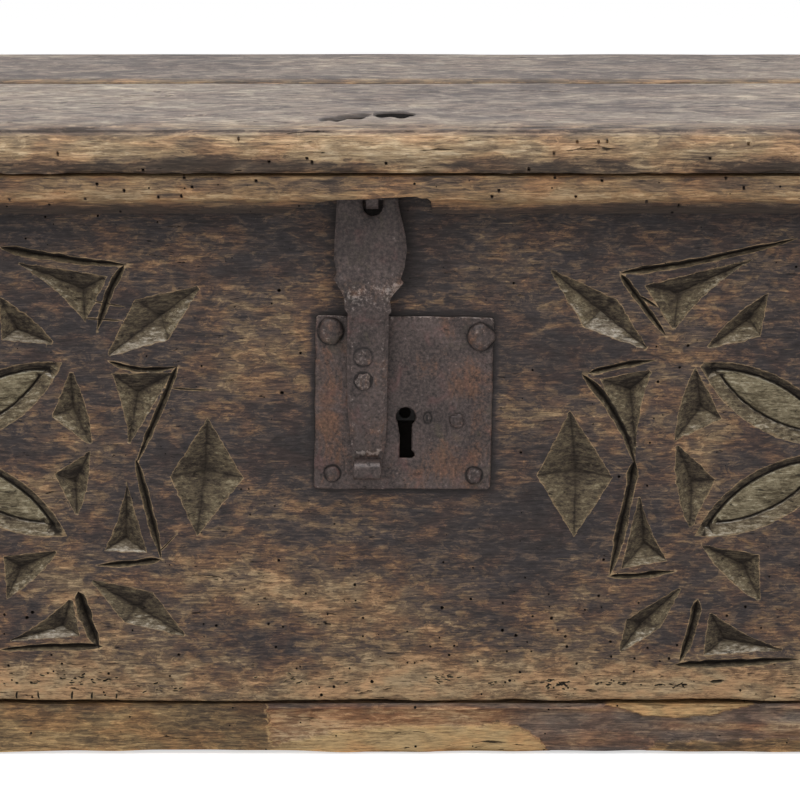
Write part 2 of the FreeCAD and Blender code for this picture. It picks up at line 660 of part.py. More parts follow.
def petal(radius, bevel, depth):
    """Cutter of one petal that points along +X from the roundel's centre.

    The petal is where two compass circles overlap.  Along both of its sides a bevel falls to a
    line, and from there a leaf rises to the petal's middle.
    """
    half_width = radius * (1 - math.cos(math.radians(30)))
    start, tip = FreeCAD.Vector(0, 0, 0), FreeCAD.Vector(radius, 0, 0)
    upper = Part.Arc(start, FreeCAD.Vector(radius / 2, 0, half_width), tip).toShape()
    lower = Part.Arc(tip, FreeCAD.Vector(radius / 2, 0, -half_width), start).toShape()
    lens = Part.Face(Part.Wire([upper, lower]))
    lens.translate(FreeCAD.Vector(0, -OVER, 0))
    prism = lens.extrude(FreeCAD.Vector(0, depth + OVER * 2, 0))
    sides = []
    for turn_sign in (-1, 1):
        centre = flat_point((60 * turn_sign, radius))
        inner = radius - half_width - OVER
        steep = depth / bevel
        corners = [(radius + OVER / steep, -OVER), (radius - bevel, depth), (inner, -OVER)]
        points = [centre + FreeCAD.Vector(across, deep, 0) for across, deep in corners]
        section = Part.Face(Part.makePolygon(points + points[:1]))
        # sweep the section once round the compass point, over the petal's side
        sides.append(section.revolve(centre, FreeCAD.Vector(0, 1, 0), 360))
    return prism.common(sides[0].fuse(sides[1]))


def roundel(side):
    """All cutters of one roundel, about its centre."""
    pattern = CARVING[side]
    cutters = []
    for mirrored in (False, True):
        group = []
        for points in pattern["outer_chips"] + pattern["inner_chips"]:
            group.append(pyramid([flat_point(point) for point in points], s.chip_depth.number, bowed=True))
        for points in pattern["lozenges"]:
            group.append(pyramid([flat_point(point) for point in points], s.lozenge_depth.number))
        for first, last in pattern["strokes"]:
            group.append(stroke(flat_point(first), flat_point(last), s.stroke_width.number, s.stroke_depth.number))
        if mirrored:
            group = [solid.mirror(FreeCAD.Vector(), FreeCAD.Vector(1, 0, 0)) for solid in group]
        cutters += group
    leaf = petal(s.petal_radius.number, s.petal_bevel.number, s.petal_depth.number)
    for index in range(6):
        copy = leaf.copy()
        copy.rotate(FreeCAD.Vector(), FreeCAD.Vector(0, 1, 0), 30 + 60 * index)
        cutters.append(copy)
    if side < 0:
        cutters = [solid.mirror(FreeCAD.Vector(), FreeCAD.Vector(1, 0, 0)) for solid in cutters]
    place = FreeCAD.Vector(side * s.roundel_x.number, front_y.number, s.roundel_z.number)
    for solid in cutters:
        solid.translate(place)
    return cutters


def diamonds():
    """Two diamonds beside the lock and two beyond the roundels."""
    wide, tall = s.diamond_half_width.number, s.diamond_half_height.number
    outline = [(0, tall), (wide, 0), (0, -tall), (-wide, 0), (0, 0)]
    cutters = []
    for side, offset in ((-1, s.diamond_left_x.number), (1, s.diamond_right_x.number)):
        for place in (offset, 2 * s.roundel_x.number - offset):
            centre = FreeCAD.Vector(side * place, front_y.number, s.diamond_z.number)
            points = [centre + FreeCAD.Vector(across, 0, up) for across, up in outline]
            cutters.append(pyramid(points, s.diamond_depth.number))
    return cutters


cutters = roundel(1) + roundel(-1) + diamonds()
carving = doc.addObject("Part::Feature", "carving_cutters")
carving.Shape = cutters[0].multiFuse(cutters[1:])


# ---------------------------------------------------------------- lock plate and its nails
plate_left = s.plate_x - s.plate_width / 2
plate_right = s.plate_x + s.plate_width / 2
plate_low = s.plate_z - s.plate_height / 2
plate_high = s.plate_z + s.plate_height / 2
nail_left = plate_left + s.plate_nail_inset_x
nail_right = plate_right - s.plate_nail_inset_x
upper_z = plate_high - s.plate_nail_inset_top
lower_z = plate_low + s.plate_nail_inset_low
upper_seats = [(nail_left, plate_front, upper_z), (nail_right, plate_front, upper_z)]
lower_seats = [(nail_left, plate_front, lower_z), (nail_right, plate_front, lower_z)]
plate_grip = s.plate_thick + s.plate_nail_grip
upper_nails, upper_holes = nails("plate_nails_upper", upper_seats, BACKWARD, s.upper_head_radius,
                                 s.upper_head_rise, plate_grip)
lower_nails, lower_holes = nails("plate_nails_lower", lower_seats, BACKWARD, s.lower_head_radius,
                                 s.lower_head_rise, plate_grip)
node("plate_nails_upper", upper_nails)
node("plate_nails_lower", lower_nails)
plate_nail_room = fuse("plate_nail_room", upper_holes + lower_holes)

plate_outline = [(plate_left - s.plate_lean, plate_low), (plate_left + s.plate_lean, plate_high),
                 (plate_right + s.plate_lean, plate_high), (plate_right - s.plate_lean, plate_low)]
plate_blank = pad("plate_blank", "XZ_Plane", plate_outline, (0, front_y, 0), s.plate_thick)

loop_half = s.loop_spread / 2 + s.loop_radius
loop_slot = block("loop_slot",
                  (s.loop_x - s.loop_radius - s.loop_slot_room, plate_front - OVER,
                   s.bolt_z - loop_half - s.loop_slot_room),
                  (s.loop_x + s.loop_radius + s.loop_slot_room, front_y + OVER,
                   s.bolt_z + loop_half + s.loop_slot_room))
key_round = rod("key_round", (s.key_x, plate_front - OVER, s.key_z), BACKWARD, s.key_radius,
                s.plate_thick + OVER * 2)
key_slot = block("key_slot", (s.key_x - s.key_slot / 2, plate_front - OVER, s.key_z - s.key_slot_drop),
                 (s.key_x + s.key_slot / 2, front_y + OVER, s.key_z))

# ---------------------------------------------------------------- works behind the lock plate
# collar ward: a curved strip round the key's path, with a tenon through the plate
ward_out = s.ward_radius + s.ward_thick / 2
ward_in = s.ward_radius - s.ward_thick / 2
ward_turn = turn((math.sqrt(0.5), 0, math.sqrt(0.5)), (math.sqrt(0.5), 0, -math.sqrt(0.5)))
ward_shell = rod("ward_shell", (s.key_x, front_y, s.key_z), BACKWARD, ward_out, s.ward_height)
ward_shell.Angle = 90
ward_shell.Placement.Rotation = ward_turn
ward_core = rod("ward_core", (s.key_x, front_y - OVER, s.key_z), BACKWARD, ward_in, s.ward_height + OVER * 2)
ward_tenon = block("ward_tenon", (s.key_x + ward_in, plate_front, s.key_z - s.ward_tenon_height / 2),
                   (s.key_x + ward_out, front_y + s.ward_thick, s.key_z + s.ward_tenon_height / 2))
ward = fuse("collar_ward", [cut("ward_collar", ward_shell, [ward_core]), ward_tenon])
node("collar_ward", ward)

# key bridge: a foot on the plate and an arm that carries the tip of the key
bridge_foot_x = s.key_x + s.key_slot_drop + s.bridge_thick
bridge_end_x = s.rivet_x + s.rivet_radius + s.bridge_thick
bridge_back = front_y + s.bridge_height
bridge_low = s.key_z - s.bridge_strip / 2
bridge_high = s.key_z + s.bridge_strip / 2
bridge_foot = block("bridge_foot", (bridge_foot_x, front_y, bridge_low),
                    (bridge_end_x, front_y + s.bridge_thick, bridge_high))
bridge_post = block("bridge_post", (bridge_foot_x, front_y, bridge_low),
                    (bridge_foot_x + s.bridge_thick, bridge_back, bridge_high))
bridge_arm = block("bridge_arm", (s.key_x - s.bridge_reach, bridge_back - s.bridge_thick, bridge_low),
                   (bridge_foot_x + s.bridge_thick, bridge_back, bridge_high))
key_tip_hole = rod("key_tip_hole", (s.key_x, bridge_back - s.bridge_thick - OVER, s.key_z), BACKWARD,
                   s.key_slot / 2, s.bridge_thick + OVER * 2)
rivet_seat = (s.rivet_x, plate_front, s.rivet_z)
rivet_grip = s.plate_thick + s.bridge_thick
rivet_hole = rod("rivet_hole", rivet_seat, BACKWARD, s.nail_radius + s.nail_fit, rivet_grip)
bridge_body = fuse("bridge_body", [bridge_foot, bridge_post, bridge_arm])
node("key_bridge", cut("key_bridge", bridge_body, [key_tip_hole, rivet_hole]))

rivet_tail = shift(rivet_seat, BACKWARD, rivet_grip)
node("bridge_rivet", fuse("bridge_rivet", [
    dome("rivet_head", rivet_seat, FRONTWARD, s.rivet_radius, s.rivet_rise, s.rivet_crown),
    rod("rivet_shank", rivet_seat, BACKWARD, s.nail_radius, rivet_grip),
    dome("rivet_tail", rivet_tail, BACKWARD, s.rivet_tail_radius, s.rivet_rise, s.rivet_crown)]))

plate_tools = [plate_nail_room, loop_slot, key_round, key_slot, ward_tenon, rivet_hole]
node("lock_plate", cut("lock_plate", plate_blank, plate_tools))

# bolt: a bar with two talons that the key pushes
bolt_left = s.loop_x + s.loop_radius + s.bolt_tip_room
bolt_front = front_y + s.bolt_plate_gap
bolt_back = bolt_front + s.bolt_thick
bolt_low = s.bolt_z - s.bolt_height / 2
bolt_high = s.bolt_z + s.bolt_height / 2
left_talon_x = s.key_x - s.talon_lead
right_talon_x = left_talon_x + s.talon_width + s.talon_gap
bolt_bar = block("bolt_bar", (bolt_left, bolt_front, bolt_low), (bolt_left + s.bolt_length, bolt_back, bolt_high))
talons = []
for label, talon_x in (("left", left_talon_x), ("right", right_talon_x)):
    talons.append(block("talon_" + label, (talon_x, bolt_front, bolt_low - s.talon_drop),
                        (talon_x + s.talon_width, bolt_back, bolt_low + s.bolt_height / 2)))
node("lock_bolt", fuse("lock_bolt", [bolt_bar] + talons))

# guides: brackets on the back of the plate that the bolt runs through
guide_reach = s.bolt_height / 2 + s.slide_fit
left_guide_end = left_talon_x - s.bolt_throw - s.guide_talon_room
right_guide_start = right_talon_x + s.talon_width + s.guide_talon_room
for label, low_x in (("left", left_guide_end - s.guide_width), ("right", right_guide_start)):
    high_x = low_x + s.guide_width
    outer = block("guide_outer_" + label,
                  (low_x, front_y, s.bolt_z - guide_reach - s.guide_wall),
                  (high_x, bolt_back + s.slide_fit + s.guide_wall, s.bolt_z + guide_reach + s.guide_wall))
    window = block("guide_window_" + label, (low_x - OVER, front_y - OVER, s.bolt_z - guide_reach),
                   (high_x + OVER, bolt_back + s.slide_fit, s.bolt_z + guide_reach))
    node("bolt_guide_" + label, cut("bolt_guide_" + label, outer, [window]))

# spring: a leaf on a foot that presses on the bolt's top edge
spring_foot_x = right_guide_start + s.guide_width + s.spring_width * 2
spring_foot_z = s.bolt_z + guide_reach + s.guide_wall + s.spring_thick * 3
spring_touch_x = s.key_x + s.spring_width * 2
spring_tip_x = s.key_x - s.spring_width
spring_rest = bolt_high + s.slide_fit
spring_outline = [(spring_touch_x, spring_rest), (spring_tip_x, spring_rest + s.spring_thick * 2),
                  (spring_tip_x, spring_rest + s.spring_thick * 3),
                  (spring_touch_x, spring_rest + s.spring_thick),
                  (spring_foot_x, spring_foot_z + s.spring_thick),
                  (spring_foot_x + s.spring_width, spring_foot_z + s.spring_thick),
                  (spring_foot_x + s.spring_width, spring_foot_z), (spring_foot_x, spring_foot_z)]
spring_leaf = pad("spring_leaf", "XZ_Plane", spring_outline,
                  (0, bolt_front + s.spring_width, 0), s.spring_width)
spring_foot = block("spring_foot", (spring_foot_x, front_y, spring_foot_z),
                    (spring_foot_x + s.spring_width * 2, bolt_front + s.spring_width,
                     spring_foot_z + s.spring_thick * 2))
node("bolt_spring", fuse("bolt_spring", [spring_leaf, spring_foot]))

# ---------------------------------------------------------------- front board
mortise = block("lock_mortise",
                (plate_left + s.mortise_margin_x, front_y - OVER, plate_low + s.mortise_margin_z),
                (plate_right - s.mortise_margin_x, mortise_floor, plate_high - s.mortise_margin_z))
front_blank = block("front_blank", (-half_length, front_y, wall_low), (half_length, front_inner, wall_top))
front_jointed = cut("front_jointed", front_blank, tails_front_left + tails_front_right)
front_fitted = cut("front_fitted", front_jointed, [nail_room, plate_nail_room, mortise])
node("front_board", cut("front_board", front_fitted, [carving]))

# ---------------------------------------------------------------- hasp
hasp_z = wall_top - s.hasp_axis_drop
hasp_y = front_y - s.hasp_axis_out
hasp_top = hasp_z + s.hasp_bridge / 2
curl_z = hasp_z - s.curl_drop
foot_back = plate_front - s.hasp_foot_gap
neck_back = front_y - s.waist_out
flare = [(s.spade_top_half, hasp_top), (s.spade_half, hasp_z - s.spade_drop),
         (s.shoulder_half, hasp_z - s.shoulder_drop), (s.neck_half, hasp_z - s.neck_drop),
         (s.collar_half, hasp_z - s.collar_drop), (s.shaft_half, hasp_z - s.collar_drop - s.collar_step),
         (s.shaft_half, hasp_z - s.shaft_drop), (s.taper_half, hasp_z - s.taper_drop),
         (s.foot_half, hasp_z - s.foot_drop), (s.foot_half, curl_z)]
hasp_outline = [(s.hasp_centre + half, up) for half, up in flare]
hasp_outline += [(s.hasp_centre - half, up) for half, up in reversed(flare)]
hasp_front_view = pad("hasp_front_view", "XZ_Plane", hasp_outline, (0, front_y, 0), s.hasp_axis_out * 4)

back_line = [(hasp_y + s.hasp_thick / 2, hasp_top), (hasp_y + s.hasp_thick / 2, hasp_z - s.spade_drop / 2),
             (neck_back, hasp_z - s.shoulder_drop), (neck_back, hasp_z - s.collar_drop),
             (foot_back, hasp_z - s.foot_drop), (foot_back, curl_z)]
front_line = [(y - s.hasp_thick, up) for y, up in reversed(back_line)]
hasp_side_view = pad("hasp_side_view", "YZ_Plane", back_line + front_line,
                     (s.hasp_centre - s.spade_half * 2, 0, 0), s.spade_half * 4)
strap_flat = common("strap_flat", hasp_front_view, hasp_side_view)

curl_y = foot_back - s.curl_radius
curl_left = s.hasp_centre - s.foot_half
curl_round = rod("curl_round", (curl_left, curl_y, curl_z), RIGHT, s.curl_radius, s.foot_half * 2)
curl_core = rod("curl_core", (curl_left - OVER, curl_y, curl_z), RIGHT, s.curl_radius - s.curl_thick,
                s.foot_half * 2 + OVER * 2)
curl_slit = block("curl_slit", (curl_left - OVER, curl_y, curl_z),
                  (curl_left + s.foot_half * 2 + OVER, foot_back - s.hasp_thick, curl_z + s.curl_radius + OVER))
thumb_curl = cut("thumb_curl", curl_round, [curl_core, curl_slit])
strap_body = fuse("strap_body", [strap_flat, thumb_curl])

hole_low = hasp_z - s.hasp_bridge / 2 - s.hasp_hole_height
hole_round = rod("hole_round", (s.hasp_hole_x, front_y, hole_low + s.hasp_hole_radius), FRONTWARD,
                 s.hasp_hole_radius, s.hasp_axis_out * 2)
hole_box = block("hole_box", (s.hasp_hole_x - s.hasp_hole_radius, front_y - s.hasp_axis_out * 2, hole_low - OVER),
                 (s.hasp_hole_x + s.hasp_hole_radius, front_y, hasp_z - s.hasp_bridge / 2))
hasp_hole = common("hasp_hole", hole_round, hole_box)


def strap_front_at(level):
    """Front surface of the hasp's shaft at a height between collar and foot."""
    fall = (hasp_z - s.collar_drop - level) / (s.foot_drop - s.collar_drop)
    return neck_back + (foot_back - neck_back) * fall - s.hasp_thick


# loop: two legs riveted through the shaft and joined behind it by a bar
loop_bar_y = bolt_back + s.loop_bolt_room
loop_tip_y = loop_bar_y + s.loop_bridge
loop_pieces = []
loop_room = []
for label, side in (("low", -1), ("high", 1)):
    leg_z = s.bolt_z + s.loop_spread / 2 * side
    seat_y = strap_front_at(leg_z) + s.loop_head_seat
    seat = (s.loop_x, seat_y, leg_z)
    loop_pieces.append(rod("loop_leg_" + label, seat, BACKWARD, s.loop_radius, loop_tip_y - seat_y))
    head = dome("loop_head_" + label, seat, FRONTWARD, s.loop_head_radius,
                s.loop_head_rise + s.loop_head_seat, s.loop_head_crown)
    loop_pieces.append(head)
    loop_room.append(rod("loop_hole_" + label, seat, BACKWARD, s.loop_radius + s.nail_fit, s.hasp_thick * 2))
    loop_room.append(head)
loop_pieces.append(block("loop_bar", (s.loop_x - s.loop_radius, loop_bar_y, s.bolt_z - loop_half),
                         (s.loop_x + s.loop_radius, loop_tip_y, s.bolt_z + loop_half)))
node("hasp_loop", fuse("hasp_loop", loop_pieces))
node("hasp_strap", cut("hasp_strap", strap_body, [hasp_hole] + loop_room))

# pin that the hasp hangs on: a folded band driven up into the lid
pin_left = s.hasp_hole_x - s.pin_band / 2
pin_right = s.hasp_hole_x + s.pin_band / 2
pin_top = wall_top + s.pin_grip
pin_ring = cut("pin_ring", rod("pin_round", (pin_left, hasp_y, hasp_z), RIGHT, s.pin_eye_outer, s.pin_band),
               [rod("pin_core", (pin_left - OVER, hasp_y, hasp_z), RIGHT, s.pin_eye_inner, s.pin_band + OVER * 2)])
pin_foot = hasp_z + (s.pin_eye_inner + s.pin_eye_outer) / 2
pin_shank = block("pin_shank", (pin_left, hasp_y - s.pin_shank / 2, pin_foot),
                  (pin_right, hasp_y + s.pin_shank / 2, pin_top))
node("hasp_pin", fuse("hasp_pin", [pin_ring, pin_shank]))
pin_room = block("pin_room",
                 (pin_left - s.nail_fit, hasp_y - s.pin_shank / 2 - s.nail_fit, pin_foot),
                 (pin_right + s.nail_fit, hasp_y + s.pin_shank / 2 + s.nail_fit, pin_top + s.nail_fit))

# ---------------------------------------------------------------- mouldings under the lid
moulding_low = wall_top - s.moulding_drop
moulding_front = lid_front + s.moulding_setback
moulding_inner = front_y - s.moulding_gap
fascia_low = wall_top - s.moulding_fascia
moulding_half = lid_half - s.moulding_setback
end_inner = half_length + s.end_moulding_gap

nail_level = moulding_low + s.moulding_head_rise + s.moulding_head_sink
front_nail_y = (moulding_inner + moulding_front + s.moulding_undercut) / 2
end_nail_x = (end_inner + moulding_half - s.moulding_undercut) / 2
moulding_seats = [(moulding_half * share, front_nail_y, nail_level) for share in FRONT_MOULDING_NAILS]
for side in (-1, 1):
    for share in SIDE_MOULDING_NAILS:
        moulding_seats.append((end_nail_x * side, s.case_depth * share, nail_level))
moulding_grip = wall_top - nail_level + s.moulding_nail_grip
moulding_nails, moulding_holes = nails("moulding_nails", moulding_seats, UP, s.moulding_head_radius,
                                       s.moulding_head_rise, moulding_grip, s.moulding_head_sink)
node("moulding_nails", moulding_nails)
moulding_room = fuse("moulding_nail_room", moulding_holes)

moulding_outline = [(moulding_inner, moulding_low),
                    (moulding_front + s.moulding_undercut, moulding_low, s.moulding_undercut),
                    (moulding_front, fascia_low), (moulding_front, wall_top), (moulding_inner, wall_top)]
moulding_blank = pad("moulding_blank", "YZ_Plane", moulding_outline, (-moulding_half, 0, 0), moulding_half * 2)
notch_high = moulding_low + s.notch_rise
notch_knee = moulding_low + s.notch_rise * s.notch_knee
notch_outline = [(-s.notch_left, moulding_low - OVER), (-s.notch_left, moulding_low + s.notch_rise * s.notch_toe),
                 (s.notch_slope * s.notch_knee_run - s.notch_left, notch_knee),
                 (s.notch_slope - s.notch_left, notch_high), (s.notch_right - s.notch_rise / 2, notch_high),
                 (s.notch_right - s.notch_rise / 7, notch_knee), (s.notch_right, moulding_low - OVER)]
notch = pad("hasp_notch", "XZ_Plane", notch_outline, (0, moulding_inner + OVER, 0), s.lid_front_overhang * 2)
pocket = block("hasp_pocket",
               (s.hasp_centre - s.spade_top_half - s.pocket_side_gap, moulding_front + s.notch_lip,
                moulding_low - OVER),
               (s.hasp_centre + s.spade_top_half + s.pocket_side_gap, moulding_inner + OVER,
                moulding_low + s.pocket_rise))
node("front_moulding", cut("front_moulding", moulding_blank, [notch, pocket, pin_room, moulding_room]))

right_outline = [(end_inner, moulding_low), (end_inner, wall_top), (moulding_half, wall_top),
                 (moulding_half, fascia_low, s.moulding_undercut),
                 (moulding_half - s.moulding_undercut, moulding_low)]
left_outline = [(s.moulding_undercut - moulding_half, moulding_low, s.moulding_undercut),
                (-moulding_half, fascia_low), (-moulding_half, wall_top), (-end_inner, wall_top),
                (-end_inner, moulding_low)]
end_run = lid_back - s.moulding_setback - moulding_inner
for label, outline in (("left", left_outline), ("right", right_outline)):
    blank = pad("end_moulding_blank_" + label, "XZ_Plane", outline, (0, lid_back - s.moulding_setback, 0), end_run)
    node("side_moulding_" + label, cut("side_moulding_" + label, blank, [moulding_room]))

# ---------------------------------------------------------------- lid boards and dowels
dowels = []
dowel_holes = []
dowel_z = wall_top + s.lid_thick / 2
for index, share in enumerate(LID_DOWELS):
    start = (half_length * share, lid_joint - s.dowel_reach, dowel_z)
    dowels.append(rod("dowel_%d" % index, start, BACKWARD, s.dowel_radius, s.dowel_reach * 2))
    wide = s.dowel_radius + s.nail_fit
    hole_start = shift(start, FRONTWARD, s.nail_fit)
    dowel_holes.append(rod("dowel_hole_%d" % index, hole_start, BACKWARD, wide, (s.dowel_reach + s.nail_fit) * 2))
node("lid_dowels", fuse("lid_dowels", dowels))
dowel_room = fuse("dowel_room", dowel_holes)

nose_top = lid_top - s.nose_quirk
lid_front_outline = [(lid_front, wall_top), (lid_front, wall_top + s.nose_flat, s.nose_radius),
                     (lid_front + s.nose_depth, nose_top), (lid_front + s.nose_depth, lid_top),
                     (lid_joint, lid_top), (lid_joint, wall_top)]
lid_front_blank = pad("lid_front_blank", "YZ_Plane", lid_front_outline, (-lid_half, 0, 0), lid_half * 2)
node("lid_board_front", cut("lid_board_front", lid_front_blank, [dowel_room, pin_room, moulding_room]))
lid_back_blank = block("lid_back_blank", (-lid_half, lid_joint, wall_top), (lid_half, lid_back, lid_top))
node("lid_board_back", cut("lid_board_back", lid_back_blank, [dowel_room, moulding_room] + lid_pin_holes))

# ---------------------------------------------------------------- checks and export
doc.recompute()
for thing in doc.Objects:
    if "Invalid" in thing.State or "Error" in thing.State:
        raise RuntimeError("%s did not compute: %s" % (thing.Label, thing.State))
for thing in nodes:
    if thing.Shape.isNull() or not thing.Shape.isValid():
        raise RuntimeError("%s has no valid shape" % thing.Label)
for thing in nodes:
    thing.Shape.exportStep("parts/%s.step" % thing.Label)
    print("%-24s %2d solids %12.1f mm3" % (thing.Label, len(thing.Shape.Solids), thing.Shape.Volume))
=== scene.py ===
"""Looks of a carved coffer chest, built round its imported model.

Shapes are worked out in millimetres in the frame of the model: X along the chest, the front faces
-Y, Z up from the floor.  Sections across a board are arrays of (depth, height), flat drawings of
the front are arrays of (x, height).
"""
import itertools
import math

import bmesh
import bpy
import numpy as np
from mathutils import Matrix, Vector
from mathutils.geometry import delaunay_2d_cdt


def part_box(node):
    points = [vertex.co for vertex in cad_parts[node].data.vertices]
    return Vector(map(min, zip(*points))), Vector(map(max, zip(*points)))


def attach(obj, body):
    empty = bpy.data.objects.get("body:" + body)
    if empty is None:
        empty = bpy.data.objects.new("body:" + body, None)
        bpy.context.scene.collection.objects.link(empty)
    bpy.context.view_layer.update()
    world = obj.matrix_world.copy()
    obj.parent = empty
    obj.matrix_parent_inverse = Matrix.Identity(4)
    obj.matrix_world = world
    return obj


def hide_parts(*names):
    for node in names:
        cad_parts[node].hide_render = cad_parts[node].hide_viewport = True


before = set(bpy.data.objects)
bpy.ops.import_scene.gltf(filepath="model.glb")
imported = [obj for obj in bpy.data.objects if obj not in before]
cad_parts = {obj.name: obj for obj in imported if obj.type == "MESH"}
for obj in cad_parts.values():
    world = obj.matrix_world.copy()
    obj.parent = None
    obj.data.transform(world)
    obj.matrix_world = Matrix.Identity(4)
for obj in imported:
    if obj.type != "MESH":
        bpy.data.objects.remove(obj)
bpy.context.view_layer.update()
MM = 0.001
rng = np.random.default_rng(31)


def span(node):
    """Lowest and highest corner of a node in millimetres."""
    low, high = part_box(node)
    return np.array(low) / MM, np.array(high) / MM


# ---------------------------------------------------------------- noise and small geometry
def noise(points, frequency, seed=0):
    """Smooth value noise from -1 to 1 at an (n, 2) or (n, 3) array of points."""
    points = np.atleast_2d(points) * np.array(frequency, float)
    cell = np.floor(points).astype(np.int64)
    part = points - cell
    ease = part * part * (3 - 2 * part)
    primes = (73856093, 19349663, 83492791)
    total = np.zeros(len(points))
    for corner in itertools.product((0, 1), repeat=points.shape[1]):
        key = np.full(len(points), seed * 40503 + 77, np.int64)
        weight = np.ones(len(points))
        for axis, step in enumerate(corner):
            key = key ^ ((cell[:, axis] + step) * primes[axis])
            weight = weight * (ease[:, axis] if step else 1 - ease[:, axis])
        key = ((key ^ (key >> 13)) * 1274126177) & 0x7FFFFFFF
        key = ((key ^ (key >> 15)) * 668265263) & 0x7FFFFFFF
        total += weight * ((key >> 8 & 0xFFFF) / 32767.5 - 1)
    return total


def noise_at(t, frequency, seed, other=0):
    """Value noise at one number."""
    return float(noise([[t, other]], (frequency, 1), seed)[0])


def rough(points, frequency, seed=0, octaves=3):
    """Value noise with finer and fainter layers added."""
    total, share = 0.0, 1.0
    for layer in range(octaves):
        total = total + share * noise(points, np.array(frequency) * 2.1 ** layer, seed + layer)
        share *= 0.5
    return total


def smooth(value, low, high):
    """Smooth step from 0 at low to 1 at high."""
    part = np.clip((np.asarray(value, float) - low) / (high - low), 0, 1)
    return part * part * (3 - 2 * part)


def bell(value, middle, width, power=2):
    """1 at the middle, fading to 0 over about the width on both sides."""
    return np.exp(-((value - middle) / width) ** power)


def patches(points, rows, start=0.0):
    """Start plus soft patches, each with its centre, half sizes and strength."""
    total = start
    for across, up, wide, tall, strength in rows:
        total = total + strength * np.exp(
            -((points[:, 0] - across) / wide) ** 2 - ((points[:, 1] - up) / tall) ** 2)
    return total


def away(points, x, z):
    """Distance of flat points from a place."""
    return np.hypot(points[:, 0] - x, points[:, 1] - z)


def blots(t, z, rows):
    """Sum of spots that are drawn out along X, each with its centre, half sizes and strength."""
    return sum(strength * np.exp(-((t - x) / wide) ** 4 - ((z - middle) / tall) ** 2)
               for x, middle, wide, tall, strength in rows)


def unit(vectors):
    """Vectors made one long."""
    return vectors / np.maximum(np.linalg.norm(vectors, axis=-1, keepdims=True), 1e-6)


def circle(angles):
    """Points on a circle of radius 1."""
    return np.stack([np.cos(angles), np.sin(angles)], -1)


def distance_to(points, loop):
    """Shortest distance from each point to a closed polyline."""
    best = np.full(len(points), 1e9)
    for first, second in zip(loop, np.roll(loop, -1, axis=0)):
        along = second - first
        share = np.clip(((points - first) @ along) / max(along @ along, 1e-9), 0, 1)
        gap = points - first - share[:, None] * along
        best = np.minimum(best, np.hypot(gap[:, 0], gap[:, 1]))
    return best


def inside(points, loop):
    """Which points lie inside a closed loop."""
    hit = np.zeros(len(points), bool)
    x, y = points[:, 0], points[:, 1]
    for (x1, y1), (x2, y2) in zip(loop, np.roll(loop, -1, axis=0)):
        if y1 != y2:
            crosses = (y1 > y) != (y2 > y)
            hit ^= crosses & (x < (x2 - x1) * (y - y1) / (y2 - y1) + x1)
    return hit


def trace(corners, step, closed=True):
    """Points along a polygon no further apart than step, which may hold one number per leg."""
    line = []
    corners = [np.array(corner, float) for corner in corners]
    legs = len(corners) if closed else len(corners) - 1
    steps = [step] * legs if np.isscalar(step) else step
    for index in range(legs):
        corner, following = corners[index], corners[(index + 1) % len(corners)]
        count = max(1, math.ceil(np.linalg.norm(following - corner) / steps[index]))
        line += [corner + (following - corner) * (part / count) for part in range(count)]
    if not closed:
        line.append(corners[-1])
    return np.array(line)


def inward_normals(outline):
    """Inward normals of a closed outline that runs counter-clockwise."""
    along = unit(np.roll(outline, -1, axis=0) - np.roll(outline, 1, axis=0))
    return np.stack([-along[:, 1], along[:, 0]], -1)


def weave(loops, lines=(), dots=(), keep=None):
    """Triangles over closed loops, open lines and loose dots in a plane.

    Returns the points, the triangles that keep() accepts by their centres, and the loops as
    indices of the points.
    """
    points, edges, runs = [], [], []
    for group, closed in [(loop, True) for loop in loops] + [(line, False) for line in lines]:
        start, count = len(points), len(group)
        points += [tuple(point) for point in group]
        edges += [(start + index, start + index + 1) for index in range(count - 1)]
        if closed:
            edges.append((start + count - 1, start))
            runs.append(range(start, start + count))
    points += [tuple(point) for point in dots]
    flat, _, faces, sources, _, _ = delaunay_2d_cdt([Vector(point) for point in points], edges, [], 0, 1e-4)
    place = {source: index for index, group in enumerate(sources) for source in group}
    flat = np.array([tuple(point) for point in flat])
    faces = np.array([face for face in faces if len(face) == 3])
    if keep is not None:
        faces = faces[keep(flat[faces].mean(axis=1))]
    return flat, faces, [[place[index] for index in run] for run in runs]


def grid_dots(low, high, step, shake=0.3):
    """Loose dots on a shaken grid."""
    xs = np.arange(low[0] + step[0] / 2, high[0], step[0])
    ys = np.arange(low[1] + step[1] / 2, high[1], step[1])
    dots = np.stack(np.meshgrid(xs, ys), -1).reshape(-1, 2)
    return dots + rng.uniform(-shake, shake, dots.shape) * np.array(step)


def clear_of(dots, outline, gap):
    """The dots inside an outline and further than gap from it."""
    dots = dots[inside(dots, outline)]
    return dots[distance_to(dots, outline) > gap]


def bridge(first, second):
    """Quads between two closed loops of the same length."""
    count = len(first)
    return [(first[index], second[index], second[(index + 1) % count], first[(index + 1) % count])
            for index in range(count)]


def tube(rings, count):
    """Quads between rings of count points each, numbered one after the other."""
    rows = [list(range(ring * count, (ring + 1) * count)) for ring in range(rings)]
    return [face for one, two in zip(rows, rows[1:]) for face in bridge(one, two)]


# ---------------------------------------------------------------- pieces
def store(mesh, kind, domain, values):
    """Write number attributes on a mesh."""
    for key, numbers in values.items():
        layer = mesh.attributes.new(key, kind, domain)
        layer.data.foreach_set("value", np.asarray(numbers, np.float32))


